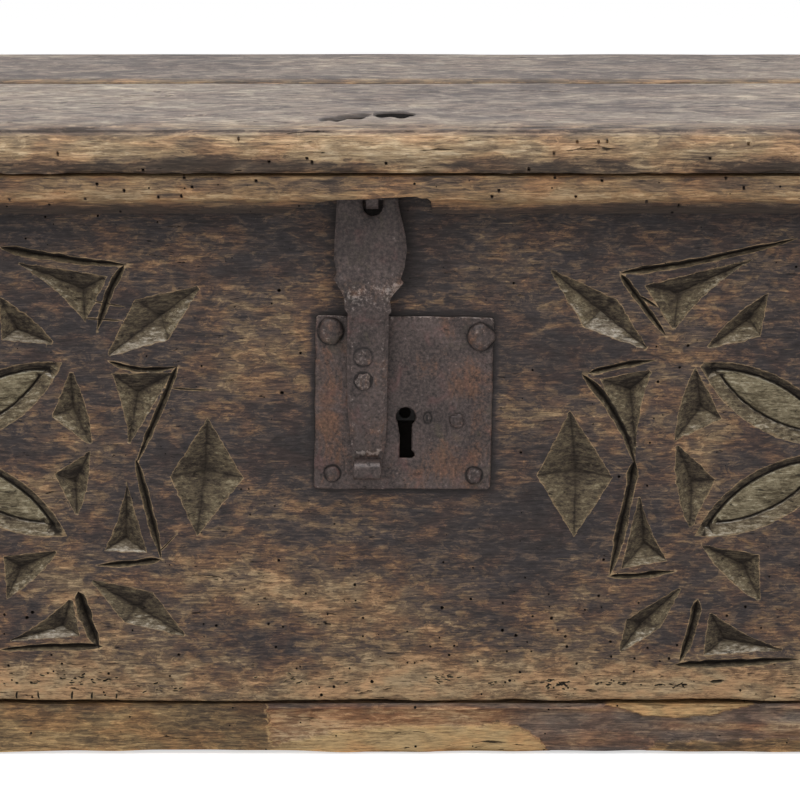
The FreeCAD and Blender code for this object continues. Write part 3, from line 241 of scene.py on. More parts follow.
class Shell:
    """Gathers points and faces of one piece from several parts, in millimetres."""

    def __init__(self):
        self.points, self.faces, self.kinds = [], [], []
        self.values = {}

    def add(self, points, faces, kind=0, **values):
        """Add a part; kind is a material index or one per face, values hold numbers per point."""
        start = len(self.points)
        self.points += [tuple(point) for point in points]
        self.join([tuple(int(index) + start for index in face) for face in faces], kind)
        for key, numbers in values.items():
            column = self.values.setdefault(key, [])
            column += [0.0] * (start - len(column)) + list(numbers)
        return start

    def join(self, faces, kind=0):
        """Add faces between points that are already there."""
        self.faces += faces
        self.kinds += [kind] * len(faces) if np.isscalar(kind) else list(kind)

    def build(self, name, body, replaced, slot, materials, face_values=(), sharp=32):
        """Mesh object in metres that stands for the replaced nodes and rides on a body."""
        mesh = bpy.data.meshes.new(name)
        mesh.from_pydata((np.asarray(self.points) * MM).tolist(), [],
                         [tuple(map(int, face)) for face in self.faces])
        mesh.polygons.foreach_set("material_index", np.asarray(self.kinds, np.int32))
        for column in self.values.values():
            column += [0.0] * (len(self.points) - len(column))
        store(mesh, "FLOAT", "POINT", self.values)
        store(mesh, "FLOAT", "FACE", dict(face_values))
        work = bmesh.new()
        work.from_mesh(mesh)
        bmesh.ops.recalc_face_normals(work, faces=work.faces)
        bmesh.ops.delete(work, geom=[vert for vert in work.verts if not vert.link_faces], context="VERTS")
        work.to_mesh(mesh)
        work.free()
        mesh.shade_smooth()
        mesh.set_sharp_from_angle(angle=math.radians(sharp))
        for material in materials:
            mesh.materials.append(material)
        thing = bpy.data.objects.new(name, mesh)
        bpy.context.collection.objects.link(thing)
        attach(thing, body)
        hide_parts(*replaced)


def cap(shell, section, place, t, ring, first_index, inward, spacing=7.0):
    """Close one end of a sweep with a slightly uneven face.

    inward is 1 at the first end and -1 at the last.
    """
    outline = section(t)
    dots = grid_dots(outline.min(axis=0), outline.max(axis=0), (spacing, spacing))
    dots = clear_of(dots, outline, spacing * 0.4)
    flat, tris, (loop,) = weave([outline], (), dots, lambda centres: inside(centres, outline))
    points = place(t, flat)
    points[loop] = ring
    depth = 0.35 * (1 + noise(flat, (0.09, 0.5), 5))
    depth[loop] = 0
    middle = outline.mean(axis=0)[None]
    axis = int(np.argmax(np.abs(place(t + 1, middle)[0] - place(t, middle)[0])))
    points[:, axis] += inward * depth
    remap = {index: first_index + position for position, index in enumerate(loop)}
    extra = [index for index in range(len(flat)) if index not in remap]
    start = shell.add(points[extra], [])
    remap.update({index: start + position for position, index in enumerate(extra)})
    shell.join([tuple(remap[index] for index in tri) for tri in tris])


def sweep(stations, section, place, **marks):
    """Closed section carried along an axis, with slightly rounded ends.

    section(t) gives the (n, 2) outline at station t and place(t, outline) its points in space.
    Each mark gives a number per point, such as its wear, from t and the outline.
    """
    inset = [(0.0, 1.6), (0.5, 0.7), (1.4, 0.2)]
    run = [(stations[0] + gap, shrink) for gap, shrink in inset]
    run += [(t, 0.0) for t in stations[1:-1]]
    run += [(stations[-1] - gap, shrink) for gap, shrink in reversed(inset)]
    rings, values = [], {key: [] for key in marks}
    for t, shrink in run:
        outline = section(t)
        if shrink:
            outline = outline + inward_normals(outline) * shrink
        rings.append(place(t, outline))
        for key, mark in marks.items():
            values[key].append(mark(t, outline))
    count = len(rings[0])
    shell = Shell()
    shell.add(np.concatenate(rings), tube(len(rings), count),
              **{key: np.concatenate(numbers) for key, numbers in values.items()})
    cap(shell, section, place, run[0][0], rings[0], 0, 1)
    cap(shell, section, place, run[-1][0], rings[-1], (len(rings) - 1) * count, -1)
    return shell


def bored(t, heights, holes, radius=0.8):
    """How deep a beetle hole is at the points of a section at station t, 0 to 1."""
    result = np.zeros(len(heights))
    for x, z in holes:
        if abs(t - x) < 2.5:
            result = np.maximum(result, bell(np.hypot(t - x, heights - z), 0, radius, 4))
    return result


def around(holes):
    """Stations close together at each hole."""
    return np.concatenate([x + np.array((-1.2, -0.6, 0.0, 0.6, 1.2)) for x, _ in holes])


# ---------------------------------------------------------------- materials
def rgb(red, green, blue):
    """Linear colour of an 8-bit display colour."""
    channels = []
    for value in (red / 255, green / 255, blue / 255):
        channels.append(value / 12.92 if value <= 0.04045 else ((value + 0.055) / 1.055) ** 2.4)
    return (*channels, 1.0)


def shaded(colour, share):
    """A colour made darker or lighter."""
    return tuple(share * value for value in colour[:3]) + (1.0,)


class Nodes:
    """Builds a node tree with short calls."""

    def __init__(self, tree):
        self.tree = tree
        tree.nodes.clear()

    def add(self, kind, feeds=(), **settings):
        """New node with its settings made and its inputs fed with values or other outputs."""
        node = self.tree.nodes.new(kind)
        for key, value in settings.items():
            setattr(node, key, value)
        for key, value in dict(feeds).items():
            if isinstance(value, bpy.types.NodeSocket):
                self.tree.links.new(value, node.inputs[key])
            else:
                node.inputs[key].default_value = value
        return node

    def calc(self, operation, first, second=0.0, third=0.0):
        """One step of arithmetic."""
        return self.add("ShaderNodeMath", {0: first, 1: second, 2: third}, operation=operation).outputs[0]


class Paint(Nodes):
    """Builds one material from noise, masks and colours laid over each other."""

    def __init__(self, name):
        self.material = bpy.data.materials.new(name)
        self.material.use_nodes = True
        super().__init__(self.material.node_tree)
        self.place = self.add("ShaderNodeTexCoord").outputs["Object"]

    def noise(self, frequency, detail, roughness, warp, offset):
        """Noise whose frequency per metre is given along each axis."""
        moved = self.add("ShaderNodeMapping", {0: self.place, 1: (offset, offset * 0.7, offset * 1.3),
                                               3: tuple(frequency)})
        return self.add("ShaderNodeTexNoise", {"Vector": moved.outputs[0], "Scale": 1.0, "Detail": detail,
                                               "Roughness": roughness, "Distortion": warp}).outputs[0]

    def blend(self, *shares):
        """Weighted sum of pairs (value, weight)."""
        total = 0.0
        for value, weight in shares:
            total = self.calc("MULTIPLY_ADD", value, weight, total)
        return total

    def mask(self, value, low, high):
        """Smooth step from 0 at low to 1 at high."""
        return self.add("ShaderNodeMapRange", {"Value": value, "From Min": low, "From Max": high},
                        interpolation_type="SMOOTHSTEP").outputs[0]

    def over(self, colour, share, other, strength=None, how="MIX"):
        """Colour with another laid over it, by share and strength."""
        if strength is not None:
            share = self.calc("MULTIPLY", share, strength)
        return self.add("ShaderNodeMix", {0: share, 6: colour, 7: other}, data_type="RGBA",
                        blend_type=how).outputs[2]

    def ramp(self, value, stops):
        """Colour ramp over (position, colour) stops."""
        node = self.add("ShaderNodeValToRGB", {0: value})
        marks = node.color_ramp.elements
        while len(marks) < len(stops):
            marks.new(0.5)
        for mark, (position, colour) in zip(marks, stops):
            mark.position = position
            mark.color = colour
        return node.outputs[0]

    def attribute(self, name):
        """Number stored on the mesh, 0 where there is none."""
        return self.add("ShaderNodeAttribute", attribute_name=name).outputs["Fac"]

    def specks(self, plane, scale, radius, offset):
        """Round dots scattered over a plane: 1 in a dot, 0 between them."""
        split = self.add("ShaderNodeSeparateXYZ", {0: self.place})
        first, second = [split.outputs[axis] for axis in plane]
        flat = self.add("ShaderNodeCombineXYZ", {0: first, 1: second, 2: offset})
        shaken = self.add("ShaderNodeMapping", {0: flat.outputs[0], 1: (offset, offset, 0)})
        cells = self.add("ShaderNodeTexVoronoi", {"Vector": shaken.outputs[0], "Scale": scale},
                         voronoi_dimensions="2D").outputs
        size = self.add("ShaderNodeSeparateColor", {0: cells["Color"]})
        reach = self.calc("MULTIPLY", size.outputs[0], radius * scale)
        return self.mask(self.calc("SUBTRACT", reach, cells["Distance"]), 0.0, 0.25 * radius * scale)

    def finish(self, colour, roughness, height, relief, strength, metallic=0.0, specular=0.5):
        """Close the material with bumps of a height in millimetres and a principled shader."""
        bump = self.add("ShaderNodeBump", {"Strength": strength, "Distance": relief * MM, "Height": height})
        shader = self.add("ShaderNodeBsdfPrincipled", {
            "Base Color": colour, "Roughness": roughness, "Normal": bump.outputs[0], "Metallic": metallic,
            "Specular IOR Level": specular})
        self.add("ShaderNodeOutputMaterial", {0: shader.outputs[0]})
        return self.material


def old_wood(name, axis, plane, tones, worn=0.0, seed=0.0, spots=0.0011, cracks=0.0, squash=1.0,
             stretch=1.0, bleached=None, broken=False):
    """Aged wood with its grain along an axis.

    tones are the colours of the dark skin, the brown under it, the worn wood and the bare pale
    wood.  plane names the two axes of its main face, squash slows the grain down along Y and
    stretch makes it longer.  The mesh may carry wear (above 0 worn, also for painted highlights;
    below 0 sooty, also for painted shade), rim, which is 1 on the edge of a cut and paints a highlight
    there, bleach, which blends in the tones of bleached and a painted sheen, and torn, which is 1
    where the skin has broken away.
    """
    dark, pale = tones[0], tones[3]
    paint = Paint(name)

    def layer(along, across, detail, roughness, warp, offset):
        """Noise with its own scale along and across the grain."""
        scale = [across, across * squash, across]
        scale[axis] = along / stretch
        return paint.noise(scale, detail, roughness, warp, seed + offset)

    fine = layer(90, 740, 4, 0.8, 0.3, 1.9)
    dash = layer(50, 310, 6, 0.78, 0.5, 7.7)
    mottle = layer(44, 92, 8, 0.73, 0.7, 12.3)
    cloud = layer(9, 16, 3, 0.55, 0.2, 5.5)
    flake = paint.mask(layer(64, 150, 8, 0.7, 0.9, 17.0), 0.5, 0.55)
    hue = layer(34, 52, 2, 0.6, 0.2, 3.1)
    wear, rim = paint.attribute("wear"), paint.attribute("rim")
    # tone rises with wear and painted highlights and falls with stains and painted shade
    tone = paint.blend((mottle, 0.7), (dash, 0.3), (fine, 0.45), (cloud, 0.5), (wear, 0.26),
                       (flake, 0.13), (1.0, worn - 0.54))

    def toned(colours):
        """Colour for the tone here, from the sootiest to the palest."""
        colours = (shaded(colours[0], 0.6),) + tuple(colours)
        return paint.ramp(tone, list(zip((0.24, 0.42, 0.55, 0.68, 0.86), colours)))
    colour = toned(tones)
    # the grey tones blended in here also paint the sheen of the lid's top
    bleach = paint.attribute("bleach") if bleached else 0.0
    if bleached:
        colour = paint.over(colour, bleach, toned(bleached))
    if broken:
        warm, cold = toned(TORN_WARM), toned(TORN_COLD)
        fibre = paint.over(cold, paint.mask(wear, -0.2, 0.6), warm)
        colour = paint.over(colour, paint.attribute("torn"), fibre)
    tint = paint.blend((bleach, -0.75), (1.0, 1.0))
    red = paint.mask(paint.blend((hue, 1.0), (mottle, 0.4)), 0.64, 0.84)
    colour = paint.over(colour, red, (1.08, 0.95, 0.9, 1.0), tint, "MULTIPLY")
    blue = paint.mask(hue, 0.5, 0.34)
    colour = paint.over(colour, blue, (0.94, 0.98, 1.04, 1.0), tint, "MULTIPLY")
    hair = paint.blend((layer(28, 900, 2, 0.5, 0.4, 21.0), 1.0), (mottle, 0.5), (wear, 0.02))
    colour = paint.over(colour, paint.mask(hair, 0.96, 1.04), pale, 0.5)
    # painted highlight along the edges of cuts and of the torn skin
    edge = paint.mask(paint.blend((rim, 0.9), (mottle, 1.0), (fine, 0.6)), 1.35, 1.75)
    colour = paint.over(colour, edge, pale, 0.8)
    # sooty marks and stains, and painted shade under the mouldings, round the iron and along the bottom
    # board's top, where wear is below 0
    soot_and_shade = paint.mask(paint.blend((wear, -1.0), (mottle, 0.5)), 0.5, 1.25)
    colour = paint.over(colour, soot_and_shade, shaded(dark, 0.55), 0.62)
    grain = paint.blend((fine, 2.3), (dash, 1.3), (1.0, -0.8))
    colour = paint.over(colour, 1.0, grain, how="MULTIPLY")
    pores = paint.mask(layer(110, 1000, 2, 0.5, 0.5, 33.0), 0.38, 0.28)
    colour = paint.over(colour, pores, shaded(dark, 0.4), 0.55)
    split = paint.blend((layer(62, 330, 3, 0.62, 0.9, 41.0), 1.0), (wear, 0.03), (cloud, 0.2))
    split = paint.mask(split, 0.81 - cracks, 0.84 - cracks)
    black = paint.calc("MAXIMUM", paint.calc("MULTIPLY", split, 0.85), paint.mask(wear, -2.2, -3.2))
    if spots:
        black = paint.calc("MAXIMUM", black, paint.specks(plane, 38.0, spots, seed))
    colour = paint.over(colour, black, rgb(18, 14, 12))
    height = paint.blend((dash, 1.0), (fine, 0.8), (pores, -0.3), (black, -2.0), (mottle, 0.5))
    shine = paint.blend((dash, 0.3), (fine, 0.3), (black, 0.6), (1.0, 0.3))
    return paint.finish(colour, shine, height, 0.6, 0.9, specular=0.3)


def cut_wood(name):
    """Wood inside the carving: dust and painted light facing up, painted shade facing down and in the lines,
    with dirt.
    """
    paint = Paint(name)
    grain = paint.noise((34, 330, 330), 5, 0.74, 0.5, 2.0)
    fleck = paint.noise((190, 640, 640), 4, 0.8, 0.3, 9.0)
    cloud = paint.noise((80, 120, 120), 5, 0.72, 0.8, 4.0)
    deep, lift, leaf, rim = [paint.attribute(key) for key in ("deep", "lift", "leaf", "rim")]
    stir = paint.blend((grain, 0.8), (cloud, 0.65), (fleck, 0.8), (1.0, 0.13))
    # lift lightens facets that face up and darkens those that face down, and deep darkens towards the
    # bottoms: painted light and shade
    colour = paint.ramp(paint.blend((stir, 1.0), (lift, 0.11), (deep, -0.16), (1.0, -0.72)),
                        [(0.26, rgb(42, 36, 32)), (0.46, rgb(82, 72, 59)), (0.62, rgb(112, 100, 79)),
                         (0.8, rgb(158, 146, 120))])
    pale = paint.ramp(paint.blend((stir, 1.0), (1.0, -0.8)),
                      [(0.28, rgb(106, 97, 86)), (0.48, rgb(164, 154, 140)), (0.72, rgb(222, 214, 202))])
    # paler dust where facets face up, partly painted light
    dust_and_light = paint.mask(paint.blend((lift, 0.62), (stir, 1.0), (deep, -0.3)), 1.6, 2.3)
    colour = paint.over(colour, dust_and_light, pale)
    cream = paint.ramp(paint.blend((stir, 1.0), (lift, 0.08), (1.0, -0.84)),
                       [(0.28, rgb(80, 71, 55)), (0.5, rgb(134, 123, 99)), (0.72, rgb(188, 179, 154))])
    colour = paint.over(colour, leaf, cream)
    # painted highlight along the edges of the cuts
    edge = paint.mask(paint.blend((rim, 0.9), (cloud, 0.8), (fleck, 0.5)), 1.3, 1.7)
    colour = paint.over(colour, edge, rgb(150, 124, 92), 0.7)
    # dirt and painted shade in the bottoms of the cuts, along creases and strokes and in the holes
    dirt_and_shade = paint.mask(paint.blend((deep, 1.0), (cloud, 0.6), (fleck, 0.5)), 1.1, 1.6)
    colour = paint.over(colour, dirt_and_shade, rgb(28, 23, 20), 0.85)
    split = paint.mask(paint.noise((60, 300, 300), 3, 0.62, 0.9, 41.0), 0.64, 0.68)
    colour = paint.over(colour, split, rgb(28, 23, 20), 0.75)
    pores = paint.mask(paint.noise((90, 1100, 1100), 2, 0.5, 0.5, 33.0), 0.38, 0.28)
    colour = paint.over(colour, pores, rgb(34, 28, 23), 0.55)
    height = paint.blend((grain, 0.9), (fleck, 0.8), (cloud, 1.0), (pores, -0.5), (split, -0.6))
    return paint.finish(colour, 0.8, height, 0.9, 0.9, specular=0.2)


def old_iron(name, rust=0.0, tone=1.0, seed=0.0, bright=0.0, gloss=0.42):
    """Forged iron, dark and pitted, with patches of rust and rubbed highlights.

    The mesh may carry wear, which is above 0 where it is rubbed and where a highlight is painted, and
    below 0 where shade is painted, and rust, which is above 0 where there is more of it.
    """
    paint = Paint(name)

    def hued(red, green, blue):
        """Colour of the iron, lighter or darker as tone says."""
        return rgb(red * tone, green * tone, blue * tone)

    cloud = paint.noise((28, 28, 28), 5, 0.62, 0.4, seed + 1.0)
    rusty = paint.noise((52, 52, 38), 7, 0.78, 0.9, seed + 8.0)
    hue = paint.noise((58, 58, 46), 4, 0.6, 0.6, seed + 18.0)
    grain = paint.noise((420, 420, 420), 4, 0.7, 0.0, seed + 3.0)
    pits = paint.noise((210, 210, 210), 3, 0.6, 0.0, seed + 14.0)
    edge = paint.attribute("wear")
    steel = paint.ramp(paint.blend((cloud, 0.5), (grain, 0.5)),
                       [(0.36, hued(50, 42, 41)), (0.64, hued(98, 84, 80))])
    brown = paint.ramp(paint.blend((rusty, 0.6), (grain, 0.4)),
                       [(0.4, hued(80, 60, 52)), (0.66, hued(134, 95, 70))])
    share = paint.mask(paint.blend((rusty, 0.8), (cloud, 0.3), (grain, 0.2), (edge, 0.1),
                                   (paint.attribute("rust"), 0.2)), 0.72 - rust, 0.92 - rust)
    colour = paint.over(steel, share, brown, 0.65)
    colour = paint.over(colour, paint.mask(hue, 0.54, 0.72), hued(112, 76, 72), 0.35)
    colour = paint.over(colour, paint.mask(hue, 0.44, 0.3), hued(92, 84, 66), 0.3)
    # rubbed bright metal, with the painted highlights that wear carries
    rubbed = paint.mask(paint.blend((grain, 0.9), (pits, 0.4), (edge, 0.25)), 0.80 - bright, 0.98 - bright)
    colour = paint.over(colour, rubbed, rgb(160, 149, 142), 0.45)
    hollow = paint.mask(pits, 0.40, 0.30)
    colour = paint.over(colour, hollow, rgb(36, 30, 29), 0.6)
    colour = paint.over(colour, 1.0, paint.blend((grain, 1.8), (1.0, 0.1)), how="MULTIPLY")
    # painted shade round nail heads and rivets and in grooves, where wear is below 0
    soot_and_shade = paint.mask(edge, -0.1, -0.9)
    colour = paint.over(colour, soot_and_shade, rgb(24, 20, 20), 0.85)
    height = paint.blend((cloud, 0.8), (pits, 0.9), (grain, 0.45), (hollow, -0.6))
    shine = paint.blend((grain, 0.2), (share, 0.22), (rubbed, -0.15), (soot_and_shade, 0.2), (1.0, gloss))
    return paint.finish(colour, shine, height, 0.5, 0.85, metallic=0.25)


# colours of the dark skin, the brown under it, the worn wood and the bare pale wood
FIELD = (rgb(60, 53, 52), rgb(86, 71, 62), rgb(120, 98, 74), rgb(166, 140, 106))
STRIP = (rgb(80, 64, 48), rgb(112, 91, 65), rgb(142, 115, 79), rgb(180, 150, 106))
TORN_WARM = (rgb(84, 62, 50), rgb(116, 84, 62), rgb(140, 106, 76), rgb(178, 148, 112))
TORN_COLD = (rgb(96, 83, 75), rgb(118, 102, 89), rgb(134, 117, 100), rgb(164, 144, 118))
LID = (rgb(78, 65, 55), rgb(122, 101, 79), rgb(156, 131, 99), rgb(188, 165, 133))
# GREY is the lid's top: weathered grey with a painted sheen
GREY = (rgb(104, 94, 90), rgb(140, 127, 118), rgb(166, 153, 139), rgb(200, 188, 170))
EDGE = (rgb(78, 64, 55), rgb(116, 94, 73), rgb(146, 117, 84), rgb(172, 146, 112))
CASE = (rgb(58, 46, 40), rgb(98, 76, 58), rgb(134, 106, 74), rgb(168, 138, 98))

front_wood = old_wood("front_wood", 0, (0, 2), FIELD, worn=0.02, seed=1.0, spots=0.0006, cracks=0.02)
front_cut = cut_wood("front_cut")
lid_wood = old_wood("lid_wood", 0, (0, 1), LID, worn=0.08, seed=4.0, spots=0, cracks=0.03, squash=0.45,
                    stretch=1.7, bleached=GREY)
moulding_wood = old_wood("moulding_wood", 0, (0, 2), EDGE, worn=0.06, seed=6.0, stretch=1.5)
side_wood = old_wood("side_wood", 1, (1, 2), EDGE, worn=0.05, seed=16.0, stretch=2.5)
base_wood = old_wood("base_wood", 0, (0, 2), STRIP, worn=0.06, seed=9.0, cracks=0.01, stretch=1.3,
                     broken=True)
back_wood = old_wood("back_wood", 0, (0, 2), CASE, worn=0.04, seed=11.0, stretch=3.5)
end_wood = old_wood("end_wood", 1, (1, 2), CASE, worn=0.04, seed=13.0, stretch=3.0)
dowel_wood = old_wood("dowel_wood", 1, (0, 2), STRIP, worn=0.1, seed=15.0)
plate_iron = old_iron("plate_iron", rust=0.1, seed=2.0, bright=0.02)
hasp_iron = old_iron("hasp_iron", rust=0.05, tone=0.94, seed=5.0, bright=0.02)
curl_iron = old_iron("curl_iron", rust=-0.06, tone=0.98, seed=6.0, gloss=0.26)
nail_iron = old_iron("nail_iron", rust=0.06, tone=0.92, seed=7.0, bright=-0.01)
# a darkened copy of the iron for the parts inside the lock: painted shade seen through the keyhole
lock_iron = old_iron("lock_iron", tone=0.45, seed=8.0)


# ---------------------------------------------------------------- carved front board
CASE_LOW, CASE_HIGH = span("front_board")
FRONT, FRONT_INNER = CASE_LOW[1], CASE_HIGH[1]
WALL_LOW, WALL_TOP = CASE_LOW[2], CASE_HIGH[2]
HALF = CASE_HIGH[0]
END_THICK = 28.0
TAILS = 4
TAIL_HALF_FACE, TAIL_HALF_INNER = 33.0, 25.0
UNDER_LID = 425.0  # above this the moulding hides the face
LOCK_X, LOCK_Z, LOCK_HALF = 17.0, 275.0, 68.0
PLATE_LEFT, PLATE_RIGHT, PLATE_FOOT, PLATE_HEAD = -49.4, 82.4, 209.6, 340.4
MORTISE = [(-34.2, 228.0), (68.2, 228.0), (68.2, 321.8), (-34.2, 321.8)]
MORTISE_DEPTH = 20
BEETLE_HOLES = 330  # tries; those that fall behind the plate or in a cut are left out
ROUNDEL_X, ROUNDEL_Z = 348.7, 239.0
RING = 132.0
# per side: corners and then the lowest point of each cut, as (angle in degrees, distance from the
# roundel's centre) on the side that faces the lock; the other side mirrors them.  Strokes have
# their two ends, width and bow.
CARVING = {
    1: {
        "outer": [
            ((117.4, 162.5), (146.2, 160.8), (141.4, 198.7), (138.0, 174.9)),
            ((157.6, 160.3), (182.4, 159.5), (164.0, 194.1), (164.9, 169.7)),
            ((192.2, 159.8), (212.4, 159.6), (208.5, 191.8), (206.1, 168.5)),
            ((230.6, 160.9), (254.4, 161.7), (236.6, 191.4), (239.2, 174.2)),
        ],
        "inner": [
            ((118.8, 134.8), (145.3, 133.8), (129.2, 110.7), (128.5, 124.5)),
            ((151.7, 132.4), (177.2, 131.5), (166.2, 99.5), (164.5, 115.6)),
            ((177.5, 129.9), (207.7, 133.1), (192.7, 102.9), (192.9, 119.7)),
            ((213.7, 131.4), (241.8, 134.5), (230.8, 104.5), (229.7, 118.9)),
        ],
        "lozenges": [
            ((148.8, 264.5), (155.0, 219.4), (153.5, 168.8), (147.1, 209.4), (151.0, 213.9)),
            ((220.7, 161.8), (218.7, 210.2), (223.2, 232.7), (224.9, 195.8), (221.9, 204.1)),
        ],
        "strokes": [
            ((142.4, 218.8), (106.0, 165.2), 4.6, -2.7),
            ((142.6, 218.3), (148.2, 163.3), 4.4, 0.1),
            ((163.5, 204.4), (155.1, 161.6), 4.0, 0.6),
            ((164.0, 208.4), (184.7, 160.1), 5.4, 6.2),
            ((182.7, 160.3), (208.7, 202.3), 6.6, 1.3),
            ((208.8, 202.5), (216.2, 158.8), 4.2, -0.9),
            ((226.3, 160.2), (233.3, 207.0), 7.0, 1.9),
            ((232.7, 210.5), (258.8, 166.2), 5.4, -0.7),
        ],
        "diamond": ((171.8, 210.9), (186.8, 177.8), (198.1, 215.3), (184.8, 233.4), (184.9, 204.1)),
    },
    -1: {
        "outer": [
            ((120.3, 163.6), (143.8, 164.1), (138.8, 198.3), (137.5, 177.0)),
            ((159.1, 161.6), (179.0, 162.1), (163.3, 204.1), (166.2, 174.2)),
            ((188.7, 162.0), (208.7, 162.0), (204.5, 190.9), (203.9, 172.7)),
            ((224.3, 163.0), (245.7, 163.3), (229.8, 189.1), (232.0, 176.4)),
        ],
        "inner": [
            ((121.0, 135.2), (144.0, 136.0), (130.6, 109.5), (132.0, 120.9)),
            ((153.1, 135.3), (179.0, 135.1), (166.6, 109.4), (166.0, 124.7)),
            ((180.4, 133.5), (203.1, 133.1), (189.9, 108.1), (192.0, 124.0)),
            ((215.5, 133.1), (239.4, 134.0), (231.0, 106.0), (229.7, 121.6)),
        ],
        "lozenges": [
            ((150.4, 250.7), (156.5, 210.3), (154.5, 162.9), (146.2, 203.7), (151.9, 212.3)),
            ((217.4, 164.0), (220.6, 205.5), (215.6, 249.9), (211.8, 209.0), (216.9, 206.4)),
        ],
        "strokes": [
            ((115.3, 168.3), (139.7, 215.2), 5.0, 1.9),
            ((139.3, 213.4), (147.4, 167.3), 4.6, 2.1),
            ((155.7, 163.3), (162.4, 210.2), 3.8, 4.5),
            ((162.3, 209.0), (183.6, 167.7), 4.4, -0.7),
            ((182.3, 167.2), (204.7, 203.2), 5.0, -0.5),
            ((204.7, 202.9), (213.2, 162.7), 4.0, -0.4),
            ((222.0, 163.7), (228.6, 206.5), 8.6, 1.1),
            ((227.6, 206.8), (248.4, 167.3), 4.8, 1.0),
        ],
        "diamond": ((173.7, 222.2), (185.0, 247.6), (197.5, 221.7), (186.0, 193.6), (184.7, 218.7)),
    },
}
CHIP_DEPTH, LOZENGE_DEPTH, DIAMOND_DEPTH, STROKE_DEPTH = 8.0, 7.5, 9.0, 3.4
PETAL_START, PETAL_HALF = 6.0, 20.5
WIDE_BEVEL, NARROW_BEVEL = 8.6, 4.6
# past a bevel: how far on the petal is deepest, and how far on its leaf has risen
LEAF_FOOT, LEAF_LIP = 1.3, 3.0
# depth at a petal's edge, under its bevel, at the leaf's foot and lip, and twice on the leaf
PETAL_DEPTHS = (0, 3.2, 5.2, 2.6, 1.7, 1.4)
# slips of the knife, splits and nicks in the lower edge: ends and width
SLIPS = [((-154.1, 286.0), (-125.6, 284.5), 1.3), ((-211.4, 351.3), (-187.0, 347.0), 1.2),
         ((-216.0, 338.3), (-189.0, 336.8), 1.1), ((169.3, 277.1), (186.9, 245.1), 1.5),
         ((188.5, 355.5), (203.5, 346.5), 2.0), ((-166.0, 160.0), (-152.0, 174.0), 1.2),
         ((248.0, 58.0), (260.0, 59.5), 3.0), ((-275.8, 43.5), (-275.0, 51.0), 1.7),
         ((-258.6, 44.0), (-259.4, 51.0), 1.5), ((-234.0, 43.5), (-233.0, 51.0), 1.9),
         ((-219.0, 44.0), (-218.4, 50.0), 1.6), ((-200.6, 44.0), (-200.0, 49.0), 1.5)]
# where beetles have gnawed along the lower edge: centre, half sizes and number of gallery ends
GNAWED = [(-228, 60, 22, 4, 20), (-268, 57, 14, 2, 7), (49, 61, 14, 3, 12), (84, 56, 6, 2, 6),
          (132, 56, 12, 4, 24), (176, 57, 18, 1.6, 13), (222, 55.5, 16, 1.5, 12), (-170, 52, 20, 4, 9),
          (-60, 60, 40, 4, 9), (-420, 57, 40, 5, 14), (400, 56, 50, 5, 16)]
# patches where the dark skin has gone, or is darker: centre, half sizes and strength
WORN = [(-77, 319, 42, 34, 0.7), (-226, 254, 24, 22, 0.35), (-229, 138, 30, 30, 0.65),
        (-253, 208, 26, 12, 0.4), (3, 112, 95, 42, 0.55), (213, 311, 36, 30, 0.65), (-98, 128, 60, 30, 0.5),
        (-190, 88, 70, 20, 0.5), (165, 105, 80, 24, 0.35), (-60, 190, 60, 22, 0.35),
        (-230, 380, 30, 14, 0.3), (-420, 120, 90, 40, 0.6), (420, 110, 90, 40, 0.6),
        (-480, 330, 70, 40, 0.5), (500, 300, 60, 50, 0.5), (240, 230, 18, 40, 0.5),
        (29, 375, 40, 26, -0.45), (117, 315, 34, 40, -0.35), (-95, 375, 40, 20, -0.4),
        (97, 140, 40, 40, -0.3), (29, 175, 60, 26, -0.25), (-150, 330, 40, 20, -0.25),
        (120, 215, 50, 50, -0.15), (-70, 235, 26, 60, -0.35), (-180, 230, 40, 40, -0.2),
        (-250, 330, 60, 40, -0.15), (100, 250, 30, 40, 0.15)]
# painted shadow round the plate and the top of the hasp: centre, half sizes, strength and how far it fades
SHADOW_ROUND_IRON = [(17, 275.3, 65, 65, 1.2, 3.4), (-7.4, 392, 25, 26, 0.55, 6.0)]


def polar(point):
    """Flat point from (angle in degrees, distance)."""
    angle = math.radians(point[0])
    return np.array([point[1] * math.cos(angle), point[1] * math.sin(angle)])


def left_of(direction):
    """Direction turned a quarter to the left."""
    return np.array([-direction[1], direction[0]])


